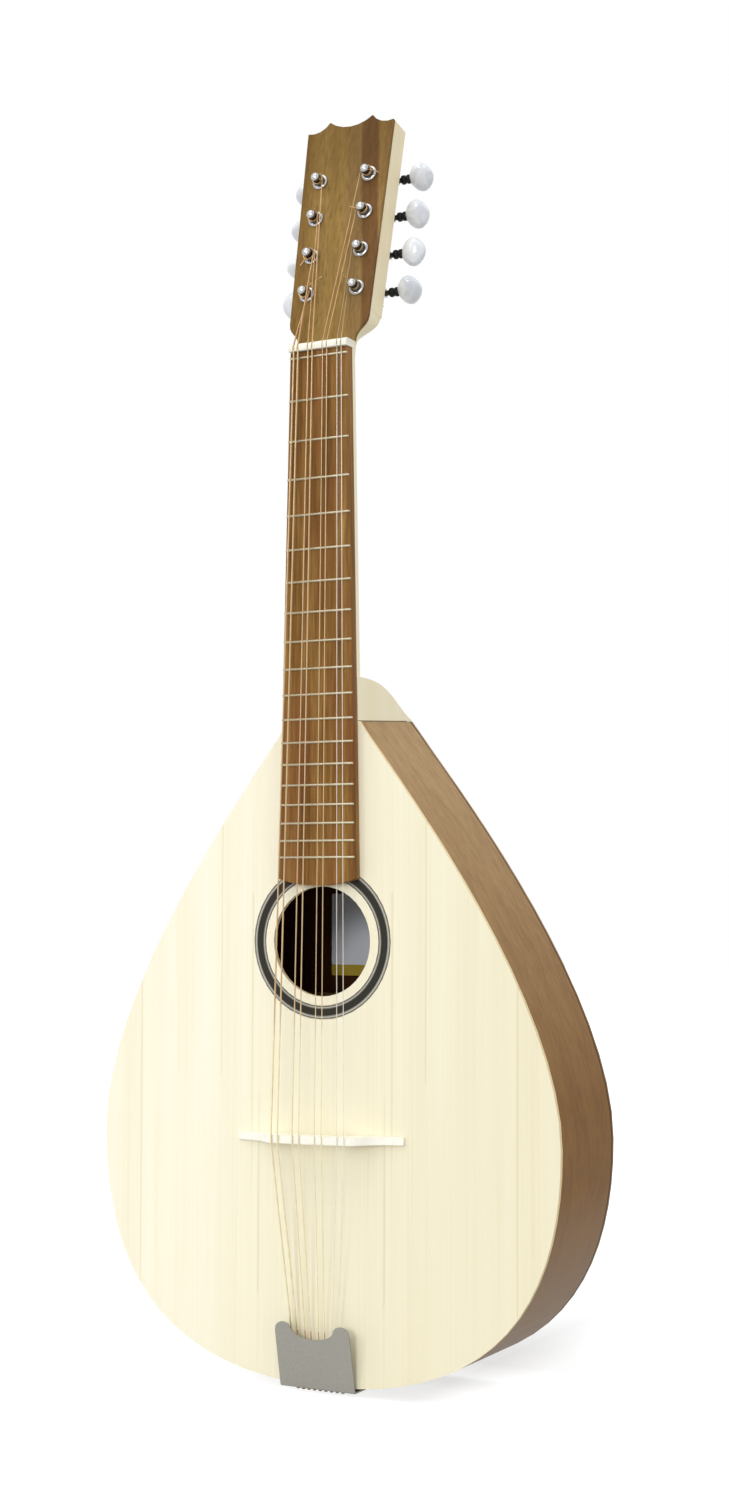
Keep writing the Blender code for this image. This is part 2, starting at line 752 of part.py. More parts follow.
def bridge():
    steps = [bridge_shoulder * i / 4 for i in range(5)]
    top = [(x, -bridge_top_at(x)) for x in steps]
    top += bezier((bridge_shoulder, -bridge_shoulder_height),
                  (bridge_shoulder + bridge_shoulder_pull, bridge_shoulder_drop - bridge_shoulder_height),
                  (bridge_half_length - bridge_end_pull, -bridge_end_height),
                  (bridge_half_length, -bridge_end_height), 8)[1:]
    foot = bridge_arch_half_width
    arch = bezier((foot, -gap), (foot - bridge_arch_foot_pull, -bridge_arch_height),
                  (bridge_arch_middle_pull, -bridge_arch_height), (0.0, -bridge_arch_height), 6)
    right = list(reversed(arch)) + [(bridge_half_length, -gap)] + list(reversed(top))
    outline = right + [(-x, y) for x, y in reversed(right[1:-1])]
    shape = bmesh.new()
    prism(shape, outline, -bridge_thickness / 2, bridge_thickness / 2,
          lambda x, y, rise: Vector((x, y, bridge_line_at(x) + rise)))
    add_object("bridge", finished_mesh("bridge", shape, 35), bone)


def tail_places():
    return [tail_string_shift + tail_string_pitch * (i - 3.5) for i in range(8)]


def tailpiece():
    """One bent plate: a sloping leaf with two horns, and a leg down the tail with string hooks."""
    inner_z = tail_z - gap
    outer_z = inner_z - tail_plate_thickness
    top_z = inner_z + tail_plate_length
    top_out = -tail_rise_top - tail_plate_thickness
    low_out = -tail_rise_bottom - tail_plate_thickness
    profile = [(top_out, top_z), (-tail_rise_top, top_z), (-tail_rise_bottom, inner_z),
               (tail_leg, inner_z), (tail_leg, outer_z), (low_out + tail_edge, outer_z),
               (low_out, outer_z + tail_edge)]
    shape = bmesh.new()
    prism(shape, profile, -tail_half_width, tail_half_width, side_view)
    plate = add_object("tailpiece", finished_mesh("tailpiece", shape), grey_steel)

    horn_x = tail_half_width - horn_radius
    horn_z = top_z - horn_radius
    notch_z = top_z - notch_depth
    horn = []
    for i in range(7):
        angle = horn_start * (1 - i / 6)
        horn.append((horn_x + horn_radius * math.cos(angle), horn_z + horn_radius * math.sin(angle)))
    right = bezier((0.0, notch_z), (notch_pull, notch_z),
                   (horn_x - horn_side_pull, notch_z + notch_side_rise), horn[0], 6)[:-1] + horn
    right += [(tail_half_width + cut_past, horn_z), (tail_half_width + cut_past, top_z + cut_past)]
    outline = right + [(-x, z) for x, z in reversed(right[1:])]
    cut = bmesh.new()
    prism(cut, outline, -4 * tail_rise_top, -0.2 * tail_rise_top, facing_front)
    cutter = add_object("tailpiece horn cutter", finished_mesh("horns", cut), None, guide=True)
    combine(plate, cutter, 'DIFFERENCE')

    slots = bmesh.new()
    for x in tail_places():
        low, high = outer_z - cut_past, inner_z + tail_slot_rise
        outline = [(x - slot_half_width, low), (x + slot_half_width, low), (x + slot_half_width, high),
                   (x - slot_half_width, high)]
        prism(slots, outline, -0.95 * tail_rise_bottom, tail_slot_back, facing_front)
    slot_cutter = add_object("string slot cutter", finished_mesh("slots", slots), None, guide=True)
    combine(plate, slot_cutter, 'DIFFERENCE')

    hooks = bmesh.new()
    for x in tail_places():
        turned(hooks, [(hook_radius, outer_z - hook_length), (hook_radius, outer_z + hook_root)],
               hook_sides, (x, hook_place))
    hook_shape = add_object("string hook shape", finished_mesh("hooks", hooks), None, guide=True)
    combine(plate, hook_shape, 'UNION')


def string_tube(name, points, radius, finish):
    curve = bpy.data.curves.new(name, 'CURVE')
    curve.dimensions = '3D'
    curve.bevel_depth = radius
    curve.bevel_resolution = 1
    curve.use_fill_caps = True
    path = curve.splines.new('POLY')
    path.points.add(len(points) - 1)
    for slot, point in zip(path.points, points):
        slot.co = (*point, 1.0)
    curve.materials.append(finish)
    made = bpy.data.objects.new(name, curve)
    bpy.context.scene.collection.objects.link(made)


def strings():
    at_bridge = [x + bridge_string_shift
                 for x in course_places(bridge_course_offset, bridge_inner_offset, bridge_pair)]
    at_nut = course_places(nut_course_offset, nut_inner_offset, nut_pair)
    # the outer string of each half goes to the lowest post, the inner one to the highest
    posts = [(-1, 0), (-1, 1), (-1, 2), (-1, 3), (1, 3), (1, 2), (1, 1), (1, 0)]
    outer_z = tail_z - gap - tail_plate_thickness
    for i in range(8):
        radius = string_radii[i]
        reach = radius + gap
        x_tail = tail_places()[i]
        side, step = posts[i]
        leg_z = outer_z - reach
        over_board = -reach - 0.1 * string_bend
        points = [(x_tail, hook_place - hook_radius - gap, leg_z), (x_tail, string_bend, leg_z),
                  (x_tail, -0.4 * string_bend, leg_z + 0.2 * string_bend),
                  (x_tail, over_board, leg_z + string_bend), (x_tail, over_board, tail_z + 1.5 * string_bend)]
        top = bridge_top_at(at_bridge[i]) + reach
        half = bridge_thickness / 2
        saddle_z = bridge_line_at(at_bridge[i])
        points += [(at_bridge[i], string_dip - top, saddle_z - half - string_edge),
                   (at_bridge[i], -top, saddle_z), (at_bridge[i], 0.2 * string_dip - top, saddle_z + half)]
        points += [(at_nut[i], -crown - reach, 0.0),
                   (at_nut[i], 0.2 * string_dip - crown - reach, nut_start + nut_length)]
        on_post = Vector((side * (post_offset - post_waist_radius - string_winding - reach),
                          first_post + step * post_pitch, string_rest_height))
        points.append(tuple(head_matrix() @ on_post))
        finish = bronze if i < 6 else steel_string
        string_tube("string_%d" % (i + 1), points, radius, finish)


# Machine heads
def string_post_mesh():
    """Post turned with a waist for the string, fused with the gear behind the head."""
    cap = post_cap_radius
    front = [(0.65 * cap, post_length), (cap, post_length - 0.4 * post_cap_height),
             (0.88 * cap, post_length - 0.8 * post_cap_height),
             (post_waist_radius, post_length - post_cap_height),
             (post_waist_radius, post_waist_start), (post_radius, post_shoulder),
             (post_radius, journal_start + journal_cone - head_thickness),
             (journal_radius, journal_start - head_thickness)]
    root = gear_module * gear_teeth / 2 - gear_dedendum
    tip = gear_module * gear_teeth / 2 + gear_addendum
    gear_top = -worm_depth + gear_width / 2
    shape = bmesh.new()
    turned(shape, front + [(journal_radius, gear_top - post_root)], post_sides)
    post = add_object("post shape", finished_mesh("post shape", shape, 40), None, guide=True)

    lead = math.atan(worm_pitch / (math.tau * worm_pitch_radius))
    step = math.tau / gear_teeth
    pitch_radius = gear_module * gear_teeth / 2
    half_at_pitch = worm_pitch / 4 - tooth_play
    half_at_tip = half_at_pitch - gear_addendum * math.tan(flank_angle)
    half_at_root = half_at_pitch + gear_dedendum * math.tan(flank_angle)
    sections = []
    for height in (gear_top, gear_top - gear_width):
        # the teeth lean with the thread that they run in
        lean = (height + worm_depth) * math.tan(lead) / pitch_radius
        ring = []
        for tooth in range(gear_teeth):
            middle = math.pi / 2 + (tooth + 0.5) * step + lean
            for radius, half in ((root, -half_at_root / root), (tip, -half_at_tip / tip),
                                 (tip, half_at_tip / tip), (root, half_at_root / root)):
                angle = middle + half
                ring.append(Vector((radius * math.cos(angle), radius * math.sin(angle), height)))
        sections.append(ring)
    gear_shape = bmesh.new()
    sweep(gear_shape, sections)
    gear = add_object("gear shape", finished_mesh("gear shape", gear_shape), brass)
    combine(gear, post, 'UNION')
    bpy.context.view_layer.update()
    evaluated = gear.evaluated_get(bpy.context.evaluated_depsgraph_get())
    mesh = bpy.data.meshes.new_from_object(evaluated)
    mesh.name = "string post"
    mesh.materials.clear()
    mesh.materials.append(chrome)
    mesh.shade_smooth()
    mesh.set_sharp_from_angle(angle=math.radians(40))
    bpy.data.objects.remove(gear, do_unlink=True)
    bpy.data.objects.remove(post, do_unlink=True)
    return mesh


def worm_mesh(side):
    """Shaft along X with a right-hand thread about x = 0, running out to its button on one side."""
    root = worm_pitch_radius - worm_dedendum
    height = worm_dedendum + worm_addendum
    half_pitch = worm_pitch / 4 - tooth_play
    half_crest = half_pitch - worm_addendum * math.tan(flank_angle)
    offsets = [-thread_half_root, -half_crest, half_crest, thread_half_root]
    length = worm_turns * worm_pitch
    total = worm_turns * worm_sides
    fade = worm_sides * 0.4
    shape = bmesh.new()

    def vertex(x, radius, column):
        # the thread's crest faces -u at x = 0, and its angle grows with x
        angle = math.pi + math.tau * (column / worm_sides - worm_turns / 2)
        return shape.verts.new((x, radius * math.cos(angle), radius * math.sin(angle)))

    rows = []
    for step in range(total + 1):
        x = -length / 2 + worm_pitch * step / worm_sides
        rise = max(0.0, min(1.0, step / fade, (total - step) / fade))
        row = []
        for i, offset in enumerate(offsets):
            lift = height * rise if i in (1, 2) else 0.0
            row.append(vertex(x + offset, root + lift, step))
        rows.append(row)
    for step in range(total):
        for i in range(3):
            shape.faces.new((rows[step][i], rows[step][i + 1], rows[step + 1][i + 1],
                             rows[step + 1][i]))
    # root strip between one turn of the thread and the next
    for step in range(total - worm_sides):
        shape.faces.new((rows[step][3], rows[step + worm_sides][0],
                         rows[step + worm_sides + 1][0], rows[step + 1][3]))

    def end_ring(x, radius, first_step):
        return [vertex(x, radius, first_step + k) for k in range(worm_sides)]

    low_ring = end_ring(-worm_reach, root, 0)
    high_ring = end_ring(worm_reach, root, total)
    for k in range(worm_sides - 1):
        shape.faces.new((low_ring[k], low_ring[k + 1], rows[k + 1][0], rows[k][0]))
    for k in range(1, worm_sides):
        a = total - worm_sides + k
        shape.faces.new((rows[a][3], rows[a + 1][3], high_ring[(k + 1) % worm_sides],
                         high_ring[k]))
    last = rows[worm_sides - 1][0]
    column = [low_ring[0]] + rows[0] + [rows[worm_sides][0]]
    shape.faces.new((last, low_ring[-1], low_ring[0]))
    for a, b in zip(column, column[1:]):
        shape.faces.new((last, a, b))
    first = rows[total - worm_sides + 1][3]
    column = [rows[total - worm_sides][3]] + rows[total] + [high_ring[0]]
    for a, b in zip(column, column[1:]):
        shape.faces.new((first, a, b))
    shape.faces.new((first, high_ring[0], high_ring[1]))
    return shape, low_ring, high_ring


def continue_shaft(shape, ring, profile, first_step):
    """Carries a ring on through (x, radius) pairs and closes the end."""
    before = ring
    for x, radius in profile:
        after = []
        for k in range(worm_sides):
            angle = math.pi + math.tau * ((first_step + k) / worm_sides - worm_turns / 2)
            after.append(shape.verts.new((x, radius * math.cos(angle), radius * math.sin(angle))))
        for k in range(worm_sides):
            j = (k + 1) % worm_sides
            shape.faces.new((before[k], before[j], after[j], after[k]))
        before = after
    shape.faces.new(before)


def worm_shaft_mesh(side):
    shape, low_ring, high_ring = worm_mesh(side)
    end = worm_reach + ear_clearance + ear_thickness + shaft_end
    reach = button_start + button_socket - gap - post_offset
    collar = collar_start - post_offset
    collar_end = button_start - post_offset - gap
    stub = [(worm_reach + gap, shaft_radius), (end, shaft_radius)]
    out = [(worm_reach + gap, shaft_radius), (collar, shaft_radius), (collar, collar_radius),
           (collar + collar_rim, collar_radius), (0.5 * (collar + collar_end), collar_waist_radius),
           (collar_end - collar_rim, collar_radius), (collar_end, collar_radius),
           (collar_end, shaft_radius), (reach, shaft_radius)]
    high, low = (out, stub) if side > 0 else (stub, out)
    total = worm_turns * worm_sides
    continue_shaft(shape, high_ring, high, total)
    continue_shaft(shape, low_ring, [(-x, radius) for x, radius in low], 0)
    name = "worm shaft right" if side > 0 else "worm shaft left"
    mesh = finished_mesh(name, shape, 35)
    mesh.materials.append(brass)
    return mesh


def button_mesh(side):
    """Flattened oval knob with a socket for the shaft; x counts from the shaft's post."""
    center = button_start + button_half_length - post_offset
    shape = bmesh.new()
    sections = []
    for i in range(button_rings):
        angle = math.pi * i / (button_rings - 1)
        x = -math.cos(angle)
        size = max(math.sin(angle) ** 0.85, button_end_share)
        ring = []
        for k in range(button_sides):
            turn = math.tau * k / button_sides
            ring.append(Vector((side * (center + button_half_length * x),
                                button_half_height * size * math.cos(turn),
                                button_half_thickness * size ** 0.8 * math.sin(turn))))
        sections.append(ring)
    sweep(shape, sections)
    body = add_object("button body", finished_mesh("button body", shape, 60), pearl)
    tool_shape = bmesh.new()
    low = button_start - cut_past - post_offset
    high = button_start + button_socket - post_offset
    ring_points = []
    for x in (low, high):
        ring_points.append([Vector((side * x, (shaft_radius + gap) * math.cos(math.tau * k / bearing_sides),
                                    (shaft_radius + gap) * math.sin(math.tau * k / bearing_sides)))
                            for k in range(bearing_sides)])
    sweep(tool_shape, ring_points)
    tool = add_object("button socket", finished_mesh("button socket", tool_shape), None, guide=True)
    combine(body, tool, 'DIFFERENCE')
    bpy.context.view_layer.update()
    evaluated = body.evaluated_get(bpy.context.evaluated_depsgraph_get())
    mesh = bpy.data.meshes.new_from_object(evaluated)
    mesh.name = "button right" if side > 0 else "button left"
    bpy.data.objects.remove(body, do_unlink=True)
    bpy.data.objects.remove(tool, do_unlink=True)
    return mesh


def bushing_mesh():
    inner = post_radius + running_gap
    outer = inner + bushing_wall
    shape = bmesh.new()
    tube_ring(shape, [(inner, -bushing_depth), (outer, -bushing_depth), (outer, gap),
                      (bushing_flange_radius, gap), (inner, gap + bushing_flange)], bushing_sides)
    mesh = finished_mesh("bushing", shape, 40)
    mesh.materials.append(chrome)
    return mesh


def tuner_plate(name, side, head_frame):
    """Strip along the back of the head, with two ears for every worm shaft."""
    center = side * post_offset
    top = -head_thickness - gap
    low = top - plate_thickness
    first = first_post - plate_end
    last = first_post + (post_count - 1) * post_pitch + worm_offset + plate_end
    cut = plate_corner
    left, right = center - plate_half_width, center + plate_half_width
    outline = [(left + cut, first), (right - cut, first), (right, first + cut), (right, last - cut),
               (right - cut, last), (left + cut, last), (left, last - cut), (left, first + cut)]
    shape = bmesh.new()
    prism(shape, outline, low, top, on_head)
    plate = add_object(name, finished_mesh(name, shape), chrome, head_frame)

    ears = bmesh.new()
    holes = bmesh.new()
    for i in range(post_count):
        post_u = first_post + i * post_pitch
        axis_u = post_u + worm_offset
        turned(holes, [(journal_radius + plate_hole_play, 2 * low),
                       (journal_radius + plate_hole_play, 0.5 * top)], bearing_sides, (center, post_u))
        for way in (-1, 1):
            near = center + way * (worm_reach + ear_clearance)
            far = near + way * ear_thickness
            profile = [(axis_u - ear_half_width, low + ear_root), (axis_u - ear_half_width, -worm_depth)]
            for k in range(1, ear_steps):
                angle = math.pi * k / ear_steps
                profile.append((axis_u - ear_half_width * math.cos(angle),
                                -worm_depth - ear_half_width * math.sin(angle)))
            profile += [(axis_u + ear_half_width, -worm_depth), (axis_u + ear_half_width, low + ear_root)]
            prism(ears, profile, near, far, lambda u, n, x: Vector((x, u, n)))
            hole = [(axis_u + (shaft_radius + running_gap) * math.cos(math.tau * k / bearing_sides),
                     -worm_depth + (shaft_radius + running_gap) * math.sin(math.tau * k / bearing_sides))
                    for k in range(bearing_sides)]
            prism(holes, hole, near - way * cut_past, far + way * cut_past,
                  lambda u, n, x: Vector((x, u, n)))
    ear_shape = add_object(name + " ear shape", finished_mesh("ears", ears), None, head_frame, True)
    hole_shape = add_object(name + " hole cutter", finished_mesh("ear holes", holes), None,
                            head_frame, True)
    combine(plate, ear_shape, 'UNION')
    combine(plate, hole_shape, 'DIFFERENCE')


def machine_heads(head_frame):
    post = string_post_mesh()
    bushing = bushing_mesh()
    shafts = {side: worm_shaft_mesh(side) for side in (-1, 1)}
    buttons = {side: button_mesh(side) for side in (-1, 1)}
    for side, i, x, u in post_places():
        label = "%s_%d" % ("left" if side < 0 else "right", i + 1)
        made = add_object("string_post_" + label, post, None, head_frame)
        made.location = (x, u, 0.0)
        collar = add_object("bushing_" + label, bushing, None, head_frame)
        collar.location = (x, u, 0.0)
        for kind, meshes in (("worm_shaft_", shafts), ("button_", buttons)):
            turning = add_object(kind + label, meshes[side], None, head_frame)
            turning.location = (x, u + worm_offset, -worm_depth)
        turns = left_button_turns if side < 0 else right_button_turns
        turning.rotation_euler.x = math.radians(turns[i])
    tuner_plate("tuner_plate_left", -1, head_frame)
    tuner_plate("tuner_plate_right", 1, head_frame)


soundboard()
back_plate()
rib("rib_left", -1)
rib("rib_right", 1)
lining("lining_front", rib_front, 1)
lining("lining_back", rib_back, -1)
tail_block()
for number, height in enumerate(top_brace_heights, 1):
    brace("top_brace_%d" % number, bridge_z + height, rib_front, 1)
for number, height in enumerate(back_brace_heights, 1):
    brace("back_brace_%d" % number, bridge_z + height, rib_back, -1)

head = bpy.data.objects.new("head frame", None)
bpy.context.scene.collection.objects.link(head)
head.location = (0.0, head_setback, head_root)
head.rotation_euler = (math.radians(90.0) - head_tilt, 0.0, 0.0)
post_holes = head_hole_cutter(head)
neck(post_holes)
headplate(head, post_holes)
fingerboard()
nut(course_places(nut_course_offset, nut_inner_offset, nut_pair))
bridge()
tailpiece()
strings()
machine_heads(head)
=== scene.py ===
import json
import math

import bmesh
import bpy
from mathutils import Matrix, Vector


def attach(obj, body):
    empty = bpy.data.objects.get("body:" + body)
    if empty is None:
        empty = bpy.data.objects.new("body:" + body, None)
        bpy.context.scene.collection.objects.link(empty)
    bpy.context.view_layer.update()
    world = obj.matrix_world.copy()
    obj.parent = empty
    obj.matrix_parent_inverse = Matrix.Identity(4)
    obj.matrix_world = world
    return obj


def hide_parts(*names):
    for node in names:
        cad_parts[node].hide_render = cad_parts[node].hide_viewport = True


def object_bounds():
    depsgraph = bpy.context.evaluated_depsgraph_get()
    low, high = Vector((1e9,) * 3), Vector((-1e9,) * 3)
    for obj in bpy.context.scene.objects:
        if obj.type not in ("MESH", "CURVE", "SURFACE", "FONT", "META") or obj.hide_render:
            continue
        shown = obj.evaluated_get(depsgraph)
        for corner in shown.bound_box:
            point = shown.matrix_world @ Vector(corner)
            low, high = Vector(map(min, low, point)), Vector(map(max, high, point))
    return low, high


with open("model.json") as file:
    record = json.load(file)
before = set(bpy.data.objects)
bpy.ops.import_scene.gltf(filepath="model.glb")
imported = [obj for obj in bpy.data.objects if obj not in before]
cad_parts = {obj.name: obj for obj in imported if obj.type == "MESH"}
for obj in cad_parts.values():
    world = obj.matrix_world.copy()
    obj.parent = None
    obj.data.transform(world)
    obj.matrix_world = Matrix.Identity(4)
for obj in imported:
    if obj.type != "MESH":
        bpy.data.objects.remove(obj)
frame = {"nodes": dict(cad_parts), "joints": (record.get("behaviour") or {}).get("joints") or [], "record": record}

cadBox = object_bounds()
scene = bpy.context.scene
nodes = frame["nodes"]
joints = {joint["name"]: joint for joint in frame["joints"]}
sides = {"left": -1, "right": 1}


# Shader building
class Signal:  # a socket of a shader tree that takes part in Python expressions
    def __init__(self, tree, socket):
        self.tree = tree
        self.socket = socket

    def combine(self, operation, *parts):
        made = self.tree.nodes.new("ShaderNodeMath")
        made.operation = operation
        for slot, part in zip(made.inputs, parts):
            if isinstance(part, Signal):
                self.tree.links.new(part.socket, slot)
            else:
                slot.default_value = part
        return Signal(self.tree, made.outputs[0])

    def __add__(self, other):
        return self.combine("ADD", self, other)

    def __radd__(self, other):
        return self.combine("ADD", other, self)

    def __sub__(self, other):
        return self.combine("SUBTRACT", self, other)

    def __rsub__(self, other):
        return self.combine("SUBTRACT", other, self)

    def __mul__(self, other):
        return self.combine("MULTIPLY", self, other)

    def __rmul__(self, other):
        return self.combine("MULTIPLY", other, self)

    def __lt__(self, other):
        return self.combine("LESS_THAN", self, other)

    def __gt__(self, other):
        return self.combine("GREATER_THAN", self, other)

    def __abs__(self):
        return self.combine("ABSOLUTE", self)


class Finish:  # a material, or the world, under construction
    def __init__(self, name, tree=None):
        self.material = None
        if tree is None:
            self.material = bpy.data.materials.new(name)
            self.material.use_nodes = True
            tree = self.material.node_tree
        self.tree = tree
        self.shader = tree.nodes.get("Principled BSDF") or tree.nodes.get("Background")

    def node(self, kind, settings, sockets, output=0):
        made = self.tree.nodes.new("ShaderNode" + kind)
        for key, value in settings.items():
            if key == "stops":
                ramp = made.color_ramp
                while len(ramp.elements) < len(value):
                    ramp.elements.new(0.5)
                for element, (place, color) in zip(ramp.elements, value):
                    element.position = place
                    element.color = (*color, 1.0)
            elif key == "steps":
                made.color_ramp.interpolation = value
            else:
                setattr(made, key, value)
        for key, value in sockets.items():
            if isinstance(value, Signal):
                self.tree.links.new(value.socket, made.inputs[key])
            else:
                made.inputs[key].default_value = value
        return Signal(self.tree, made.outputs[output])

    def place(self):
        return self.node("TexCoord", {}, {}, "Object")

    def split(self, vector):
        first = self.node("SeparateXYZ", {}, {"Vector": vector})
        return [Signal(self.tree, socket) for socket in first.socket.node.outputs]

    def noise(self, vector, scale, detail=3.0, distortion=0.0):
        return self.node("TexNoise", {}, {"Vector": vector, "Scale": scale, "Detail": detail,
                                          "Distortion": distortion})

    def ramp(self, share, stops, steps="LINEAR"):
        return self.node("ValToRGB", {"steps": steps, "stops": stops}, {"Fac": share})

    def mix(self, share, low, high):
        sockets = {0: share}
        for slot, color in ((6, low), (7, high)):
            sockets[slot] = color if isinstance(color, Signal) else (*color, 1.0)
        return self.node("Mix", {"data_type": "RGBA"}, sockets, 2)

    def shade(self, share, color, tint):
        sockets = {0: share, 6: color, 7: tint if isinstance(tint, Signal) else (*tint, 1.0)}
        return self.node("Mix", {"data_type": "RGBA", "blend_type": "MULTIPLY"}, sockets, 2)

    def span(self, value, start, end):
        return self.node("MapRange", {"clamp": True}, {"Value": value, "From Min": start, "From Max": end})

    def feed(self, sockets):
        for key, value in sockets.items():
            if isinstance(value, Signal):
                self.tree.links.new(value.socket, self.shader.inputs[key])
            else:
                self.shader.inputs[key].default_value = value
        return self.material


def tone(red, green, blue):  # a colour as seen on the screen, 0 to 255, for a shader
    parts = []
    for part in (red, green, blue):
        share = part / 255
        parts.append(share / 12.92 if share <= 0.04045 else ((share + 0.055) / 1.055) ** 2.4)
    return tuple(parts)


# Camera, solved from the frets, the outline and the head
cameraFacts = {
    "place": (0.54776, -0.99268, -0.29506),
    "right": (0.88512, 0.46535, 0.00284),
    "up": (0.03077, -0.06462, 0.99744),
    "forward": (-0.46434, 0.88277, 0.07151),
    "lens": 50.782,
    "filmSide": 36.0,
}


def makeCamera():
    data = bpy.data.cameras.new("camera")
    data.lens = cameraFacts["lens"]
    data.sensor_width = cameraFacts["filmSide"]
    data.clip_start = 0.05
    made = bpy.data.objects.new("camera", data)
    scene.collection.objects.link(made)
    turn = Matrix((cameraFacts["right"], cameraFacts["up"],
                   [-part for part in cameraFacts["forward"]])).transposed()
    made.matrix_world = Matrix.Translation(cameraFacts["place"]) @ turn.to_4x4()
    scene.camera = made


makeCamera()
scene.view_settings.view_transform = "Standard"
print("camera placed")


# Floor, backdrop and lamps
studio = {
    "floorSide": 14.0,
    "floorColor": (0.5, 0.5, 0.5, 1.0),
    "floorLift": 0.60,
    "paintedPaperShadow": -0.20,  # painted shadow: how much darker the camera sees the paper behind the body
    "paintedShadowLifts": ((0, 0.08, -0.10, 0.20), (0, 0.050, 0.084, 0.23), (1, 0.11, 0.04, 0.32), (1, 0.15, 0.28, 0.15)),
    "skyGlow": 0.73,
    "skyRise": 0.16,  # how much brighter the sky is overhead than at the horizon
    "lamps": {  # power, apparent size, and the way it shines
        "key": (0.80, 0.30, (-0.03, 0.96, -0.24)),
        "side": (0.40, 0.50, (0.20, 0.45, -0.87)),
        "spark": (0.30, 0.20, (0.42, 0.78, -0.46)),
        "right": (0.25, 0.60, (-0.62, -0.10, -0.78)),
    },
}


def seenDirectly(finish):
    path = finish.node("LightPath", {}, {}, "Is Camera Ray")
    for other in ("Is Glossy Ray", "Is Transmission Ray"):
        ray = finish.node("LightPath", {}, {}, other)
        path = finish.node("Math", {"operation": "MAXIMUM"}, {0: path, 1: ray})
    return path


def makeStudio():
    low = cadBox[0][2]
    half = studio["floorSide"] / 2
    mesh = bpy.data.meshes.new("studioFloor")
    corners = [(-half, -half, low), (half, -half, low), (half, half, low), (-half, half, low)]
    mesh.from_pydata(corners, [], [(0, 1, 2, 3)])
    floor = bpy.data.objects.new("studioFloor", mesh)
    scene.collection.objects.link(floor)
    paper = Finish("studio paper")
    place = paper.split(paper.place())
    paintedShadow = studio["paintedPaperShadow"]
    for way, start, end, extra in studio["paintedShadowLifts"]:  # painted shadow on the floor: the paper is lighter on the left, on the right and in front
        paintedShadow = paper.span(place[way], start, end) * extra + paintedShadow
    camera = paper.node("LightPath", {}, {}, "Is Camera Ray")
    glow = seenDirectly(paper) * studio["floorLift"] + camera * paintedShadow
    paper.feed({"Base Color": studio["floorColor"], "Roughness": 0.9, "Specular IOR Level": 0.0,
                "Emission Strength": 1.0, "Emission Color": glow})
    floor.data.materials.append(paper.material)

    world = bpy.data.worlds.new("studio")
    world.use_nodes = True
    scene.world = world
    sky = Finish("studio sky", world.node_tree)
    rise = sky.split(sky.node("TexCoord", {}, {}, "Generated"))[2]
    glow = rise * studio["skyRise"] + studio["skyGlow"]
    sky.feed({"Color": (1.0, 1.0, 1.0, 1.0), "Strength": glow + seenDirectly(sky) * (1.0 - glow)})

    for name, (power, spread, way) in studio["lamps"].items():
        data = bpy.data.lights.new(name, "SUN")
        data.energy = power
        data.angle = spread
        lamp = bpy.data.objects.new(name, data)
        lamp.rotation_euler = Vector(way).to_track_quat("-Z", "Y").to_euler()
        scene.collection.objects.link(lamp)


makeStudio()
print("studio ready")


# Woods
woodFacts = {
    "spruce": {
        "grain": (1.0, 1.0, 0.012), "mirrored": True, "broad": 75.0, "fine": 620.0, "fineShare": 0.45,
        "bump": 0.12, "roughness": 0.52, "rays": 0.25, "lines": (64.0, 0.66, 0.30),
        "paintedFalloff": (0.0, 0.17, tone(244, 242, 234)), "specular": 0.2, "outer": (0.0004, tone(254, 236, 210)),
        "stops": ((0.28, tone(243, 236, 208)), (0.5, tone(249, 243, 219)), (0.72, tone(252, 248, 228)))},
    "walnutBack": {
        "grain": (1.0, 1.0, 0.03), "mirrored": True, "broad": 55.0, "fine": 420.0, "fineShare": 0.4,
        "bump": 0.3, "roughness": 0.38, "pores": 0.35, "inner": (0.0715, tone(119, 93, 76)),
        "outer": (0.0731, tone(205, 186, 172)), "darker": (-0.21, -0.40, tone(190, 166, 118)),
        "foot": (-0.44, -0.535, tone(160, 140, 120)),
        "stops": ((0.25, tone(128, 94, 58)), (0.5, tone(176, 143, 98)), (0.75, tone(212, 182, 136)))},
    "walnutSides": {
        "grain": (0.30, 1.0, 0.30), "broad": 60.0, "fine": 420.0, "fineShare": 0.52, "waves": 1.2,
        "bump": 0.3, "roughness": 0.42, "pores": 0.25, "darker": (-0.21, -0.40, tone(190, 166, 118)),
        "foot": (-0.44, -0.535, tone(160, 140, 120)),
        "stops": ((0.30, tone(154, 120, 79)), (0.5, tone(175, 142, 97)), (0.70, tone(191, 159, 114)))},
    "paleNeck": {
        "grain": (1.0, 1.0, 0.03), "broad": 60.0, "fine": 420.0, "fineShare": 0.4,
        # the darker head is painted shade
        "bump": 0.1, "roughness": 0.42, "darker": (0.0, 0.05, tone(249, 245, 239)),
        "stops": ((0.25, tone(250, 238, 202)), (0.75, tone(255, 248, 220)))},
    "inside": {
        "grain": (1.0, 1.0, 0.05), "broad": 40.0, "fine": 400.0, "fineShare": 0.4,
        "bump": 0.2, "roughness": 0.75,
        "stops": ((0.25, tone(104, 78, 50)), (0.75, tone(132, 104, 70)))},
}


def woodGrain(finish, facts):
    place = finish.place()
    if facts.get("mirrored"):  # two halves joined along the middle
        x, y, z = finish.split(place)
        place = finish.node("CombineXYZ", {}, {"X": abs(x), "Y": y, "Z": z})
    along = finish.node("Mapping", {}, {"Vector": place, "Scale": facts["grain"]})
    broad = finish.noise(along, facts["broad"], 3.0, facts.get("waves", 0.3))
    fine = finish.noise(along, facts["fine"], 3.0, 0.2)
    return place, along, broad, fine


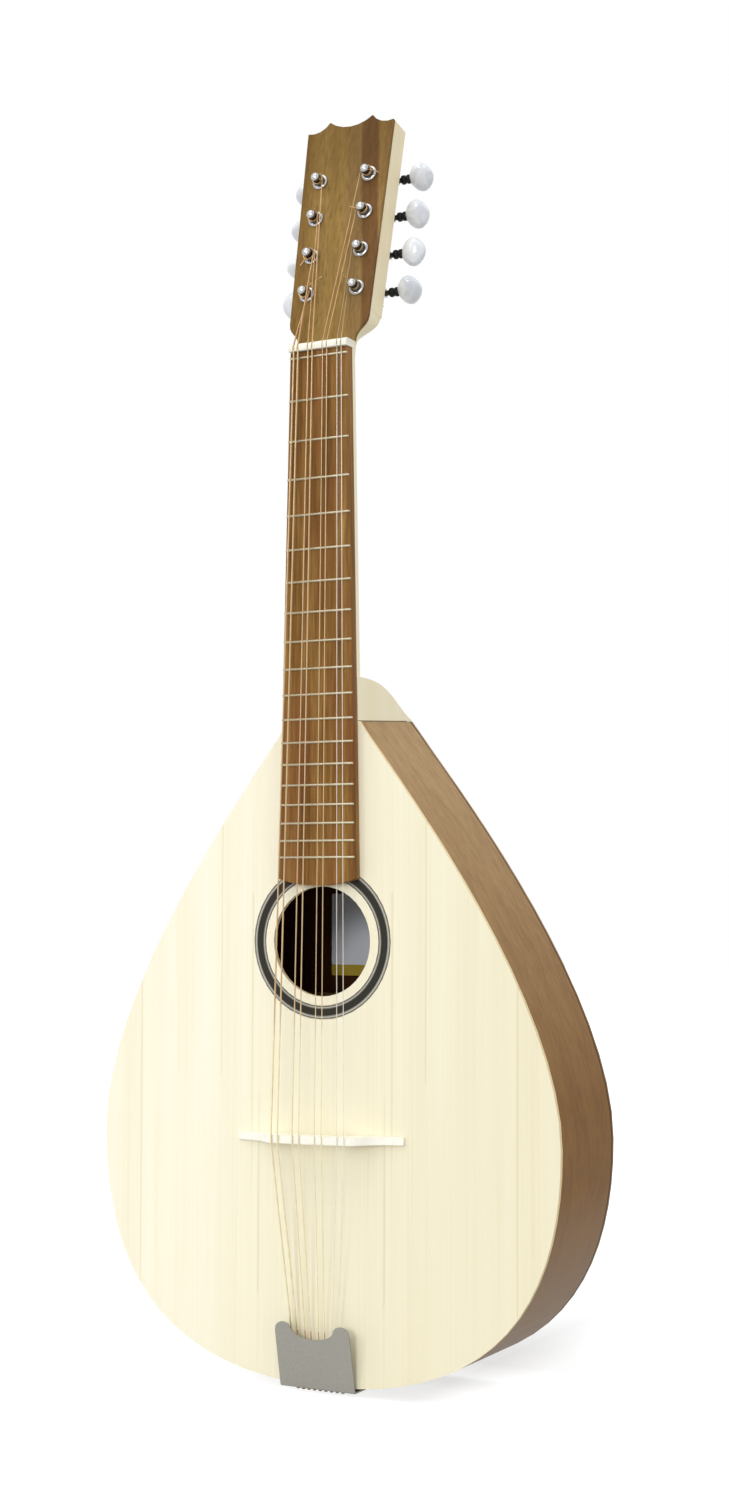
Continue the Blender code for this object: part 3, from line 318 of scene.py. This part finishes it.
def wood(name, facts):
    finish = Finish(name)
    place, along, broad, fine = woodGrain(finish, facts)
    share = broad * (1.0 - facts["fineShare"]) + fine * facts["fineShare"]
    color = finish.ramp(share, facts["stops"])
    if facts.get("rays"):  # pale flecks across the grain
        across = finish.node("Mapping", {}, {"Vector": place, "Scale": (0.25, 1.0, 1.0)})
        fleck = finish.noise(across, 900.0, 2.0)
        color = finish.mix((fleck > 0.62) * facts["rays"], color, facts["stops"][-1][1])
    if facts.get("lines"):  # single growth lines, straight up the whole board
        size, level, depth = facts["lines"]
        straight = finish.node("Mapping", {}, {"Vector": place, "Scale": (1.0, 0.0, 0.004)})
        ridge = finish.noise(straight, size * 6.0, 1.0)
        broken = finish.node("Mapping", {}, {"Vector": place, "Scale": (1.0, 0.0, 0.2)})
        patch = finish.noise(broken, size * 0.45, 1.0)
        line = finish.span(ridge, level, level + 0.05)
        color = finish.mix(line * (patch > 0.5) * depth, color, tone(206, 197, 146))
    if facts.get("pores"):
        pore = finish.noise(along, 1900.0, 2.0)
        color = finish.mix((pore > 0.60) * facts["pores"], color, facts["stops"][0][1])
    x, y, z = finish.split(finish.place())
    if facts.get("darker"):  # painted shade, from one height to another
        high, low, tint = facts["darker"]
        color = finish.shade(finish.span(z, high, low), color, tint)
    if facts.get("foot"):  # painted reflection of the floor: greyer round the bottom
        high, low, tint = facts["foot"]
        color = finish.mix(finish.span(z, high, low) * 0.9, color, tint)
    if facts.get("paintedFalloff"):  # painted shade: the board darker towards its lower right, where the light falls off
        start, end, tint = facts["paintedFalloff"]
        color = finish.shade(finish.span(x - z * 0.2, start, end), color, tint)
    if facts.get("inner"):  # bare wood inside the body, with painted shade on top
        depth, tint = facts["inner"]
        color = finish.shade(y < depth, color, tint)
    if facts.get("outer"):  # beyond a depth, as on the back's flat face or the soundboard's edge
        depth, tint = facts["outer"]
        color = finish.shade(y > depth, color, tint)
    bump = finish.node("Bump", {}, {"Height": fine, "Strength": facts["bump"], "Distance": 0.0002})
    return finish.feed({"Base Color": color, "Roughness": fine * 0.14 + facts["roughness"],
                        "Specular IOR Level": facts.get("specular", 0.1), "Normal": bump})


boardFacts = {
    "face": -0.0059,
    "grain": (1.0, 1.0, 0.05), "broad": 160.0, "fine": 900.0, "fineShare": 0.35,
    "stops": ((0.33, tone(96, 62, 28)), (0.44, tone(120, 83, 38)), (0.53, tone(140, 101, 50)),
              (0.60, tone(154, 116, 62)), (0.69, tone(178, 140, 80))),
    "red": tone(134, 82, 48), "redShare": 0.42, "fret": tone(190, 182, 160),
}


def fingerboardWood():
    finish = Finish("fingerboard wood")
    facts = boardFacts
    place, along, broad, fine = woodGrain(finish, facts)
    share = broad * (1.0 - facts["fineShare"]) + fine * facts["fineShare"]
    color = finish.ramp(share, facts["stops"])
    wide = finish.node("Mapping", {}, {"Vector": place, "Scale": (1.0, 1.0, 0.16)})
    reddish = finish.noise(wide, 95.0, 2.0, 0.6)
    level = finish.span(reddish, 0.46, 0.62)
    color = finish.mix(level * facts["redShare"], color, facts["red"])
    x, y, z = finish.split(place)
    crown = y < facts["face"] - 0.00015  # the frets stand over the wood's face
    color = finish.mix(crown, color, facts["fret"])
    bump = finish.node("Bump", {}, {"Height": fine, "Strength": 0.25, "Distance": 0.0002})
    return finish.feed({"Base Color": color, "Roughness": fine * 0.15 + 0.42, "Metallic": crown,
                        "Specular IOR Level": 0.1, "Normal": bump})


headFacts = {
    "halfWidth": 0.0271, "warp": 0.005, "grainShare": 0.4, "slant": 0.10, "top": 0.13,
    "vein": tone(98, 68, 30), "veinShare": 0.45,
    "topShade": (0.085, 0.125, tone(218, 214, 200)),
    "stripes": ((0.0, tone(136, 104, 50)), (0.12, tone(159, 127, 67)), (0.24, tone(166, 135, 77)),
                (0.34, tone(152, 121, 63)), (0.44, tone(161, 130, 72)), (0.54, tone(147, 116, 68)),
                (0.645, tone(150, 120, 73)), (0.68, tone(120, 86, 45)), (0.84, tone(122, 86, 48)),
                (0.87, tone(158, 126, 72)), (1.0, tone(148, 114, 62))),
}


def headVeneer():
    finish = Finish("head veneer")
    place = finish.place()
    x, y, z = finish.split(place)
    along = finish.node("Mapping", {}, {"Vector": place, "Scale": (1.0, 1.0, 0.012),
                                        "Rotation": (0.0, math.radians(-4.0), 0.0)})
    slow = finish.noise(along, 40.0, 2.0)
    fine = finish.noise(along, 700.0, 3.0, 0.2)
    drift = (z - headFacts["top"]) * headFacts["slant"]  # the grain leans a little
    across = (x + drift + (slow - 0.5) * headFacts["warp"]) * (0.5 / headFacts["halfWidth"]) + 0.5
    color = finish.ramp(across, headFacts["stripes"])
    grain = finish.ramp(fine, ((0.3, tone(150, 140, 125)), (0.7, tone(255, 250, 240))))
    color = finish.shade(headFacts["grainShare"], color, grain)
    vein = finish.span(finish.noise(along, 330.0, 2.0, 0.4), 0.60, 0.70)
    color = finish.mix(vein * headFacts["veinShare"], color, headFacts["vein"])
    low, high, tint = headFacts["topShade"]
    color = finish.shade(finish.span(z, low, high), color, tint)
    bump = finish.node("Bump", {}, {"Height": fine, "Strength": 0.2, "Distance": 0.0002})
    return finish.feed({"Base Color": color, "Roughness": fine * 0.15 + 0.40,
                        "Specular IOR Level": 0.1, "Normal": bump})


rosetteFacts = {
    "center": (0.0, 0.0, -0.3162), "inner": 0.0345, "outer": 0.0412,
    "rings": ((0.0, tone(120, 118, 108)), (0.07, tone(196, 194, 182)), (0.13, tone(122, 120, 110)),
              (0.21, tone(46, 43, 35)), (0.75, tone(140, 138, 128)), (0.83, tone(200, 197, 184)),
              (0.90, tone(128, 126, 116))),
}


def rosetteInlay():
    finish = Finish("rosette inlay")
    place = finish.place()
    away = finish.node("VectorMath", {"operation": "SUBTRACT"}, {0: place, 1: rosetteFacts["center"]})
    flat = finish.node("VectorMath", {"operation": "MULTIPLY"}, {0: away, 1: (1.0, 0.0, 1.0)})
    radius = finish.node("VectorMath", {"operation": "LENGTH"}, {0: flat}, "Value")
    width = rosetteFacts["outer"] - rosetteFacts["inner"]
    share = (radius - rosetteFacts["inner"]) * (1.0 / width)
    color = finish.ramp(share, rosetteFacts["rings"], "CONSTANT")
    cloud = finish.noise(place, 900.0, 2.0)
    color = finish.shade(0.25, color, finish.ramp(cloud, ((0.3, (0.4,) * 3), (0.7, (1.0,) * 3))))
    return finish.feed({"Base Color": color, "Roughness": cloud * 0.1 + 0.5,
                        "Specular IOR Level": 0.2})


# Metal, bone and plastic
smoothFacts = {
    "bone": {"scale": 160.0, "metallic": 0.0, "roughness": 0.28, "spread": 0.1,
             "stops": ((0.3, tone(238, 234, 214)), (0.7, tone(248, 246, 232)))},
    "ivory": {"scale": 160.0, "metallic": 0.0, "roughness": 0.3, "spread": 0.1,
              "stops": ((0.3, tone(246, 243, 228)), (0.7, tone(252, 250, 240)))},
    "greySteel": {"scale": 700.0, "metallic": 0.55, "roughness": 0.46, "spread": 0.12,
                  "stops": ((0.3, tone(152, 150, 142)), (0.7, tone(159, 157, 149)))},
    "nickel": {"scale": 220.0, "metallic": 1.0, "roughness": 0.2, "spread": 0.12,
               "stops": ((0.3, tone(188, 184, 176)), (0.7, tone(204, 200, 192)))},
    "fretSilver": {"scale": 300.0, "metallic": 0.75, "roughness": 0.36, "spread": 0.12,
                   "stops": ((0.3, tone(186, 177, 150)), (0.7, tone(201, 192, 166)))},
    "brass": {"scale": 220.0, "metallic": 1.0, "roughness": 0.2, "spread": 0.12,
              "stops": ((0.3, tone(196, 160, 96)), (0.7, tone(214, 180, 116)))},
    "blackPlastic": {"scale": 300.0, "metallic": 0.0, "roughness": 0.36, "spread": 0.12,
                     "specular": 0.2, "stops": ((0.3, tone(14, 14, 15)), (0.7, tone(24, 24, 25)))},
}


def smooth(name, facts):
    finish = Finish(name)
    cloud = finish.noise(finish.place(), facts["scale"])
    color = finish.ramp(cloud, facts["stops"])
    bump = finish.node("Bump", {}, {"Height": cloud, "Strength": 0.05, "Distance": 0.0001})
    return finish.feed({"Base Color": color, "Metallic": facts["metallic"], "Normal": bump,
                        "Specular IOR Level": facts.get("specular", 0.5),
                        "Roughness": cloud * facts["spread"] + facts["roughness"]})


front = Vector(joints["post_turn_left_1"]["axis"]).normalized()
postFacts = {
    "face": front.dot(Vector(joints["post_turn_left_1"]["pos_m"])), "reach": 0.008, "gear": -0.0175,
    # painted shade and reflection up each post: light at the collar, dark in the waist, lighter towards the cap
    "stops": ((0.0, tone(158, 157, 155)), (0.15, tone(182, 181, 180)), (0.18, tone(66, 63, 58)),
              (0.58, tone(76, 72, 66)), (0.62, tone(98, 96, 93)), (0.80, tone(128, 127, 125)),
              (0.88, tone(172, 172, 172)), (1.0, tone(194, 194, 194))),
}


def postMetal():  # chrome with painted shade and reflections, dark in the posts' waists and lighter at the collar and the caps, with a brass gear behind the head
    finish = Finish("post metal")
    place = finish.place()
    cloud = finish.noise(place, 300.0)
    height = finish.node("VectorMath", {"operation": "DOT_PRODUCT"}, {0: place, 1: front}, "Value")
    height = height - postFacts["face"]
    color = finish.ramp(finish.span(height, 0.0, postFacts["reach"]), postFacts["stops"])
    brass = finish.ramp(cloud, smoothFacts["brass"]["stops"])
    color = finish.mix(height < postFacts["gear"], color, brass)
    return finish.feed({"Base Color": color, "Metallic": 1.0, "Roughness": cloud * 0.06 + 0.20})


wormFacts = {"collarFrom": 0.0205, "black": tone(20, 20, 21)}


def wormMetal():  # brass as far as the black collar beside the button
    finish = Finish("brass and black")
    place = finish.place()
    cloud = finish.noise(place, smoothFacts["brass"]["scale"])
    color = finish.ramp(cloud, smoothFacts["brass"]["stops"])
    black = abs(finish.split(place)[0]) > wormFacts["collarFrom"]
    color = finish.mix(black, color, wormFacts["black"])
    return finish.feed({"Base Color": color, "Metallic": 1.0 - black, "Roughness": cloud * 0.12 + 0.22})


pearlFacts = {
    "swirl": 52.0, "warp": 0.9,
    "stops": ((0.30, tone(206, 210, 217)), (0.45, tone(231, 234, 239)), (0.53, tone(214, 218, 225)),
              (0.62, tone(233, 236, 241)), (0.78, tone(243, 245, 249))),
}


def pearl():
    finish = Finish("pearl plastic")
    swirl = finish.noise(finish.place(), pearlFacts["swirl"], 2.0, pearlFacts["warp"])
    color = finish.ramp(swirl, pearlFacts["stops"])
    return finish.feed({"Base Color": color, "Roughness": swirl * 0.1 + 0.12, "Coat Weight": 0.4})


stringFacts = {
    "silkTop": -0.5205, "winding": 0.00032, "overNeck": (-0.368, -0.348), "head": (0.0, 0.012),
    "wound": (tone(240, 230, 194), tone(212, 186, 148), tone(196, 162, 120)),  # over the soundboard (pale, painted reflection), over the neck, over the head (darker, painted reflection)
    "plain": (tone(236, 232, 216), tone(222, 218, 208), tone(170, 146, 112)),
    "silk": tone(188, 146, 98),
}


def stringMetal(name, wound):
    finish = Finish(name)
    place = finish.place()
    x, y, z = finish.split(place)
    cloud = finish.noise(place, 260.0, 2.0)
    boardReflection, overNeck, head = stringFacts["wound" if wound else "plain"]
    # painted reflections: paler over the soundboard, darker over the head
    color = finish.mix(finish.span(z, *stringFacts["overNeck"]), boardReflection, overNeck)
    color = finish.mix(finish.span(z, *stringFacts["head"]), color, head)
    color = finish.shade(cloud, color, tone(226, 222, 214))
    silk = z < stringFacts["silkTop"]
    color = finish.mix(silk, color, stringFacts["silk"])
    sockets = {"Base Color": color, "Metallic": (1.0 - silk) * 0.9, "Roughness": silk * 0.4 + 0.36}
    if wound:
        turns = finish.node("Math", {"operation": "SINE"}, {0: z * (math.tau / stringFacts["winding"])})
        sockets["Normal"] = finish.node("Bump", {}, {"Height": turns, "Strength": 0.05,
                                                     "Distance": 0.00004})
    return finish.feed(sockets)


labelFacts = {
    "low": (-0.0318, -0.3368), "high": (0.0322, -0.2905), "corner": 0.001, "bandTop": -0.3307,
    "paper": tone(238, 243, 252), "band": tone(196, 168, 50), "depth": 0.0699,
}


def labelPaper():
    finish = Finish("label paper")
    place = finish.place()
    x, y, z = finish.split(place)
    fibre = finish.noise(place, 700.0)
    color = finish.mix(z < labelFacts["bandTop"], labelFacts["paper"], labelFacts["band"])
    bump = finish.node("Bump", {}, {"Height": fibre, "Strength": 0.1, "Distance": 0.0001})
    return finish.feed({"Base Color": color, "Roughness": fibre * 0.1 + 0.7, "Normal": bump})


finishes = {name: wood(name, facts) for name, facts in woodFacts.items()}
finishes.update({name: smooth(name, facts) for name, facts in smoothFacts.items()})
finishes.update({
    "board": fingerboardWood(), "veneer": headVeneer(), "rosette": rosetteInlay(), "pearl": pearl(),
    "wound": stringMetal("wound string", True), "plain": stringMetal("plain string", False),
    "label": labelPaper(), "worm": wormMetal(), "chrome": postMetal()})

slotFinishes = {
    "spruce": "spruce", "walnut": "walnutSides", "head_veneer": "veneer", "pale_wood": "paleNeck",
    "fingerboard_wood": "board", "inner_wood": "inside", "bone": "bone", "rosette_inlay": "rosette",
    "grey_metal": "greySteel", "nickel": "nickel", "chrome": "chrome", "brass": "worm",
    "pearl": "pearl", "bronze_string": "wound", "steel_string": "plain",
}
nodeFinishes = {"back_plate": "walnutBack", "bridge": "ivory"}
for subpart in frame["record"]["subparts"]:
    shown = nodes[subpart["node"]]
    chosen = finishes[nodeFinishes.get(subpart["node"], slotFinishes[subpart["material_slot"]])]
    for holder in shown.material_slots:
        holder.material = chosen
    if not shown.material_slots:
        shown.data.materials.append(chosen)
print("finishes given")


# Mesh tools
def joinRings(shape, rings, closed=True, caps=True):
    made = [[shape.verts.new(point) for point in ring] for ring in rings]
    count = len(made[0])
    for lower, upper in zip(made, made[1:]):
        for i in range(count if closed else count - 1):
            k = (i + 1) % count
            shape.faces.new((lower[i], lower[k], upper[k], upper[i]))
    if caps:
        shape.faces.new(made[0])
        shape.faces.new(made[-1])


def addPiece(name, shape, finish, body, sharpAngle=45.0):
    bmesh.ops.remove_doubles(shape, verts=shape.verts, dist=1e-7)
    bmesh.ops.recalc_face_normals(shape, faces=shape.faces)
    mesh = bpy.data.meshes.new(name)
    shape.to_mesh(mesh)
    shape.free()
    mesh.materials.append(finishes[finish])
    mesh.shade_smooth()
    mesh.set_sharp_from_angle(angle=math.radians(sharpAngle))
    made = bpy.data.objects.new(name, mesh)
    scene.collection.objects.link(made)
    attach(made, body)
    return made


def lathe(shape, place, profile, count):  # (radius, height) pairs about the local Z
    rings = []
    for radius, height in profile:
        rings.append([place @ Vector((radius * math.cos(math.tau * i / count),
                                      radius * math.sin(math.tau * i / count), height))
                      for i in range(count)])
    joinRings(shape, rings)


def latheRing(shape, place, profile, count):  # a closed outline turned about the local Z
    rings = []
    for i in range(count + 1):
        angle = math.tau * i / count
        rings.append([place @ Vector((radius * math.cos(angle), radius * math.sin(angle), height))
                      for radius, height in profile])
    joinRings(shape, rings, caps=False)


def tube(shape, points, radii, count):  # a round tube along a path
    points = [Vector(point) for point in points]
    side = None
    rings = []
    for i, point in enumerate(points):
        ahead = points[min(i + 1, len(points) - 1)] - points[max(i - 1, 0)]
        ahead.normalize()
        if side is None:
            side = ahead.orthogonal().normalized()
        side = (side - ahead * side.dot(ahead)).normalized()
        other = ahead.cross(side)
        radius = radii[i] if isinstance(radii, (list, tuple)) else radii
        rings.append([point + (side * math.cos(math.tau * k / count)
                               + other * math.sin(math.tau * k / count)) * radius
                      for k in range(count)])
    joinRings(shape, rings)


def slottedScrew(shape, place, radius, height):  # a round head with a straight slot
    count = 20
    lathe(shape, place, ((radius, 0.0), (radius, 0.4 * height), (0.96 * radius, 0.5 * height)), count)
    slot = 0.14 * radius
    for way in (-1, 1):
        rings = []
        for share, rise in ((0.96, 0.5), (0.9, 0.8), (0.7, 1.0)):
            ring = []
            for i in range(count // 2 + 1):
                angle = math.pi * i / (count // 2)
                ring.append(place @ Vector((share * radius * math.cos(angle),
                                            way * (slot + (share * radius - slot) * math.sin(angle)),
                                            rise * height)))
            rings.append(ring)
        joinRings(shape, rings)


# Frets
fretFacts = {
    "scale": 0.420, "count": 18, "boardFace": 0.0059, "halfWidth": 0.00070, "height": 0.00096,
    "endCut": 0.0004, "zeroHalf": 0.0176, "lastHalf": 0.0229, "steps": 10,
}


def makeFrets():
    facts = fretFacts
    shape = bmesh.new()
    lastZ = facts["scale"] * (2 ** (-facts["count"] / 12) - 1)
    for n in range(facts["count"] + 1):
        z = facts["scale"] * (2 ** (-n / 12) - 1)
        half = facts["zeroHalf"] + (facts["lastHalf"] - facts["zeroHalf"]) * z / lastZ + 0.00003
        rings = []
        for x, size in ((-half, 0.75), (facts["endCut"] - half, 1.0), (half - facts["endCut"], 1.0),
                        (half, 0.75)):
            ring = []
            for i in range(facts["steps"] + 1):
                angle = math.pi * i / facts["steps"]
                ring.append(Vector((x, -facts["boardFace"] + 0.0001
                                    - (facts["height"] * size + 0.0001) * math.sin(angle),
                                    z + facts["halfWidth"] * size * math.cos(angle))))
            rings.append(ring)
        joinRings(shape, rings)
    addPiece("fret_wires", shape, "fretSilver", "root", 60.0)


makeFrets()
print("frets made")


# Nut
stringRadii = (0.00050, 0.00050, 0.00038, 0.00038, 0.00028, 0.00028, 0.00023, 0.00023)
nutFacts = {
    "start": 0.0036, "length": 0.0042, "half": 0.0179, "back": 0.0003, "shoulder": 0.0068,
    "top": 0.0081, "edge": 0.00025, "slotFloor": 0.0070, "slotPlay": 0.00006,
    "courses": (-0.0133, -0.0045, 0.0045, 0.0133), "pair": 0.0026,
}


def makeNut():
    facts = nutFacts
    start, end, top, edge = facts["start"], facts["start"] + facts["length"], facts["top"], facts["edge"]
    profile = [(-facts["back"], start), (-facts["back"], end)]
    for k in range(9):  # the head's side of the nut is rounded over
        angle = math.radians(90 * k / 8)
        profile.append((-facts["shoulder"] - (top - facts["shoulder"]) * math.sin(angle),
                        start + 0.55 * facts["length"] + 0.45 * facts["length"] * math.cos(angle)))
    profile += [(-top, start + edge), (0.3 * edge - top, start + 0.3 * edge), (edge - top, start)]
    stations = [(-facts["half"], top - edge), (edge - facts["half"], top)]
    for i in range(8):
        x = facts["courses"][i // 2] + facts["pair"] * (i % 2 - 0.5)
        wide = stringRadii[i] + facts["slotPlay"]
        stations += [(x - wide, top), (x - wide, facts["slotFloor"]), (x + wide, facts["slotFloor"]),
                     (x + wide, top)]
    stations += [(facts["half"] - edge, top), (facts["half"], top - edge)]
    shape = bmesh.new()
    joinRings(shape, [[Vector((x, max(y, -limit), z)) for y, z in profile] for x, limit in stations])
    made = addPiece("bone_nut", shape, "bone", "root", 35.0)
    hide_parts("nut")


makeNut()
print("nut made")


# Machine heads
tunerFacts = {
    "waist": 0.00215, "capRadius": 0.0026, "postTop": 0.0080, "dome": 0.0017,
    "coilTop": 0.0042, "coilLow": 0.0024, "coilStart": 0.0030, "flange": 0.00465,
    "flangeTop": 0.0013, "sleeve": 0.0032,
    "postOffset": 0.0155, "collarStart": 0.0244, "collarRadius": 0.0026, "collarWaist": 0.0021,
    "buttonStart": 0.0299, "buttonLength": 0.0138, "buttonHeight": 0.0080, "buttonThickness": 0.0042,
    "gearBack": -0.0240, "plateBack": -0.0168,
}
buttonTurns = {"left": (34.0, 80.0, 65.0, 68.0), "right": (47.0, 14.0, 39.0, 48.0)}
stringOf = {"left": (1, 2, 3, 4), "right": (8, 7, 6, 5)}
tailEnds = {  # where each short end points to from its post, across and up the head
    "left": ((0.0120, 0.0063), (-0.0030, -0.0079), (0.0030, 0.0032), (0.0034, -0.0026)),
    "right": ((-0.0067, 0.0068), (0.0036, 0.0024), (-0.0064, 0.0008), (0.0092, -0.0040)),
}
upHead = front.cross(Vector((1.0, 0.0, 0.0)))
headTurn = Matrix((Vector((1.0, 0.0, 0.0)), upHead, front)).transposed().to_4x4()


def makePost(label, place, side, i):
    facts = tunerFacts
    cap = facts["capRadius"]
    profile = [(0.00292, 0.0009), (0.00294, 0.0014), (facts["waist"] + 0.0002, 0.0020),
               (facts["waist"], 0.0024), (facts["waist"], 0.0043), (0.88 * cap, 0.0047),
               (0.97 * cap, 0.0051), (cap, 0.0056)]
    for k in range(9):
        angle = math.radians(10.5 * k)
        profile.append((cap * math.cos(angle), facts["postTop"] - facts["dome"] * (1 - math.sin(angle))))
    shape = bmesh.new()
    lathe(shape, place, profile, 28)
    addPiece("post_sleeve_" + label, shape, "chrome", "post_" + label)

    ring = bmesh.new()
    low, high = 0.0003, facts["flangeTop"]
    outline = [(facts["sleeve"], low), (facts["flange"], low)]
    for k in range(7):
        angle = math.radians(15 * k)
        outline.append((facts["sleeve"] + (facts["flange"] - facts["sleeve"]) * math.cos(angle),
                        0.45 * high + 0.55 * high * math.sin(angle)))
    latheRing(ring, place, outline, 36)
    addPiece("post_collar_" + label, ring, "chrome", "root")

    number = stringOf["left" if side < 0 else "right"][i]
    radius = stringRadii[number - 1]
    start = 0.0 if side < 0 else math.pi
    turns = (facts["coilTop"] - facts["coilLow"]) / (2.1 * radius)
    steps = int(turns * 20)
    points = []
    for k in range(steps + 1):
        angle = start - side * math.tau * turns * k / steps
        inward = min(1.0, k / 22)
        away = facts["coilStart"] + radius + (facts["waist"] - facts["coilStart"]) * inward
        points.append(place @ Vector((away * math.cos(angle), away * math.sin(angle),
                                      facts["coilTop"] - (facts["coilTop"] - facts["coilLow"]) * k / steps)))
    coil = bmesh.new()
    tube(coil, points, radius, 8)
    across, along = tailEnds["left" if side < 0 else "right"][i]
    reach = math.hypot(across, along)
    out = Vector((across, along, 0.0)) / reach
    bend = Vector((-out.y, out.x, 0.0))
    path = []
    for k in range(9):
        share = k / 8
        away = 0.0015 + (reach - 0.0015) * share
        path.append(place @ (out * away + bend * 0.0006 * math.sin(math.pi * share)
                             + Vector((0.0, 0.0, 0.0053 + 0.0007 * share))))
    tube(coil, path, radius, 8)
    finish = "plain" if number > 6 else "wound"
    addPiece("string_turns_" + label, coil, finish, "post_" + label)

    screw = bmesh.new()
    back = place @ Matrix.Translation((0.0, 0.0, facts["gearBack"])) @ Matrix.Rotation(math.pi, 4, "X")
    slottedScrew(screw, back @ Matrix.Rotation(0.7 * i + side, 4, "Z"), 0.0021, 0.0011)
    addPiece("gear_screw_" + label, screw, "nickel", "post_" + label)


def makeKey(label, place, side, turn):
    facts = tunerFacts
    outward = place @ Matrix.Rotation(side * math.pi / 2, 4, "Y")  # local Z along the shaft, outwards
    offset = facts["postOffset"]
    start = facts["collarStart"] - offset
    end = facts["buttonStart"] - offset - 0.0002
    big, small = facts["collarRadius"], facts["collarWaist"]
    length = end - start
    collar = bmesh.new()
    lathe(collar, outward, ((0.6 * big, start), (0.94 * big, start + 0.0001), (big, start + 0.0003),
                            (big, start + 0.31 * length), (0.95 * big, start + 0.36 * length),
                            (small, start + 0.46 * length), (small, start + 0.54 * length),
                            (0.95 * big, start + 0.64 * length), (big, start + 0.69 * length),
                            (big, end - 0.0003), (0.94 * big, end - 0.0001), (0.6 * big, end)), 24)
    addPiece("key_collar_" + label, collar, "blackPlastic", "key_" + label)

    shape = bmesh.new()
    rings = []
    stations = 18
    across = 28
    low = facts["buttonStart"] - offset
    lean = outward @ Matrix.Rotation(turn * side, 4, "Z")
    for k in range(stations + 1):
        share = k / stations
        height = math.sin(math.pi * min(1.0, 0.06 + 0.94 * share)) ** 0.62
        full = max(height, 0.30 * (1.0 - share), 0.05)
        ring = []
        for i in range(across):
            angle = math.tau * i / across
            cosine, sine = math.cos(angle), math.sin(angle)
            wide = math.copysign(abs(cosine) ** 0.80, cosine)
            thick = math.copysign(abs(sine) ** 0.80, sine)
            ring.append(lean @ Vector((facts["buttonThickness"] * full ** 0.8 * thick,
                                       facts["buttonHeight"] * full * wide,
                                       low + facts["buttonLength"] * share)))
        rings.append(ring)
    joinRings(shape, rings)
    button = addPiece("pearl_button_" + label, shape, "pearl", "key_" + label, 70.0)
    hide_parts("button_" + label)


for sideName, side in sides.items():
    for i in range(4):
        label = "%s_%d" % (sideName, i + 1)
        postPlace = Matrix.Translation(joints["post_turn_" + label]["pos_m"]) @ headTurn
        keyPlace = Matrix.Translation(joints["key_turn_" + label]["pos_m"]) @ headTurn
        makePost(label, postPlace, side, i)
        makeKey(label, keyPlace, side, math.radians(buttonTurns[sideName][i]))
print("machine heads dressed")


def makePlateScrews():
    for sideName, side in sides.items():
        shape = bmesh.new()
        first = Vector(joints["post_turn_%s_1" % sideName]["pos_m"])
        for k, along in enumerate((-0.0040, 0.0150, 0.0382, 0.0614, 0.0790)):
            spot = first + upHead * along + front * tunerFacts["plateBack"]
            place = Matrix.Translation(spot) @ headTurn @ Matrix.Rotation(math.pi, 4, "X")
            slottedScrew(shape, place @ Matrix.Rotation(0.9 * k + side, 4, "Z"), 0.0016, 0.0009)
        addPiece("plate_screws_" + sideName, shape, "nickel", "root")


makePlateScrews()


# Tailpiece screws and the strings' end loops
tailFacts = {
    "outer": -0.55060, "screwAcross": 0.0150, "screwBack": 0.0140, "hookBack": 0.0060,
    "pitch": 0.0034, "shift": -0.0012, "hookRadius": 0.0010,
}


def makeTailDetails():
    facts = tailFacts
    down = Matrix.Rotation(math.pi, 4, "X")
    screws = bmesh.new()
    for k, across in enumerate((-facts["screwAcross"], facts["screwAcross"])):
        place = Matrix.Translation((across, facts["screwBack"], facts["outer"])) @ down
        slottedScrew(screws, place @ Matrix.Rotation(0.5 + k, 4, "Z"), 0.0020, 0.0009)
    addPiece("tail_screws", screws, "nickel", "root")
    loops = bmesh.new()
    for k in range(8):
        radius = stringRadii[k]
        across = facts["shift"] + facts["pitch"] * (k - 3.5)
        ringRadius = facts["hookRadius"] + 0.0001 + radius
        latheRing(loops, Matrix.Translation((across, facts["hookBack"], facts["outer"] - 0.0003 - radius)),
                  [(ringRadius + radius * math.cos(math.tau * j / 8), radius * math.sin(math.tau * j / 8))
                   for j in range(8)], 20)
    addPiece("string_loops", loops, "nickel", "root")


makeTailDetails()


# Plain label inside the body
def makeLabel():
    facts = labelFacts
    (lowX, lowZ), (highX, highZ) = facts["low"], facts["high"]
    corner = facts["corner"]
    outline = []
    for cx, cz, start in ((highX - corner, highZ - corner, 0.0), (lowX + corner, highZ - corner, 90.0),
                          (lowX + corner, lowZ + corner, 180.0), (highX - corner, lowZ + corner, 270.0)):
        for k in range(5):
            angle = math.radians(start + 22.5 * k)
            outline.append((cx + corner * math.cos(angle), cz + corner * math.sin(angle)))
    shape = bmesh.new()
    joinRings(shape, [[Vector((x, facts["depth"], z)) for x, z in outline],
                      [Vector((x, facts["depth"] + 0.0002, z)) for x, z in outline]])
    addPiece("plain_label", shape, "label", "root")


makeLabel()
print("small pieces made")
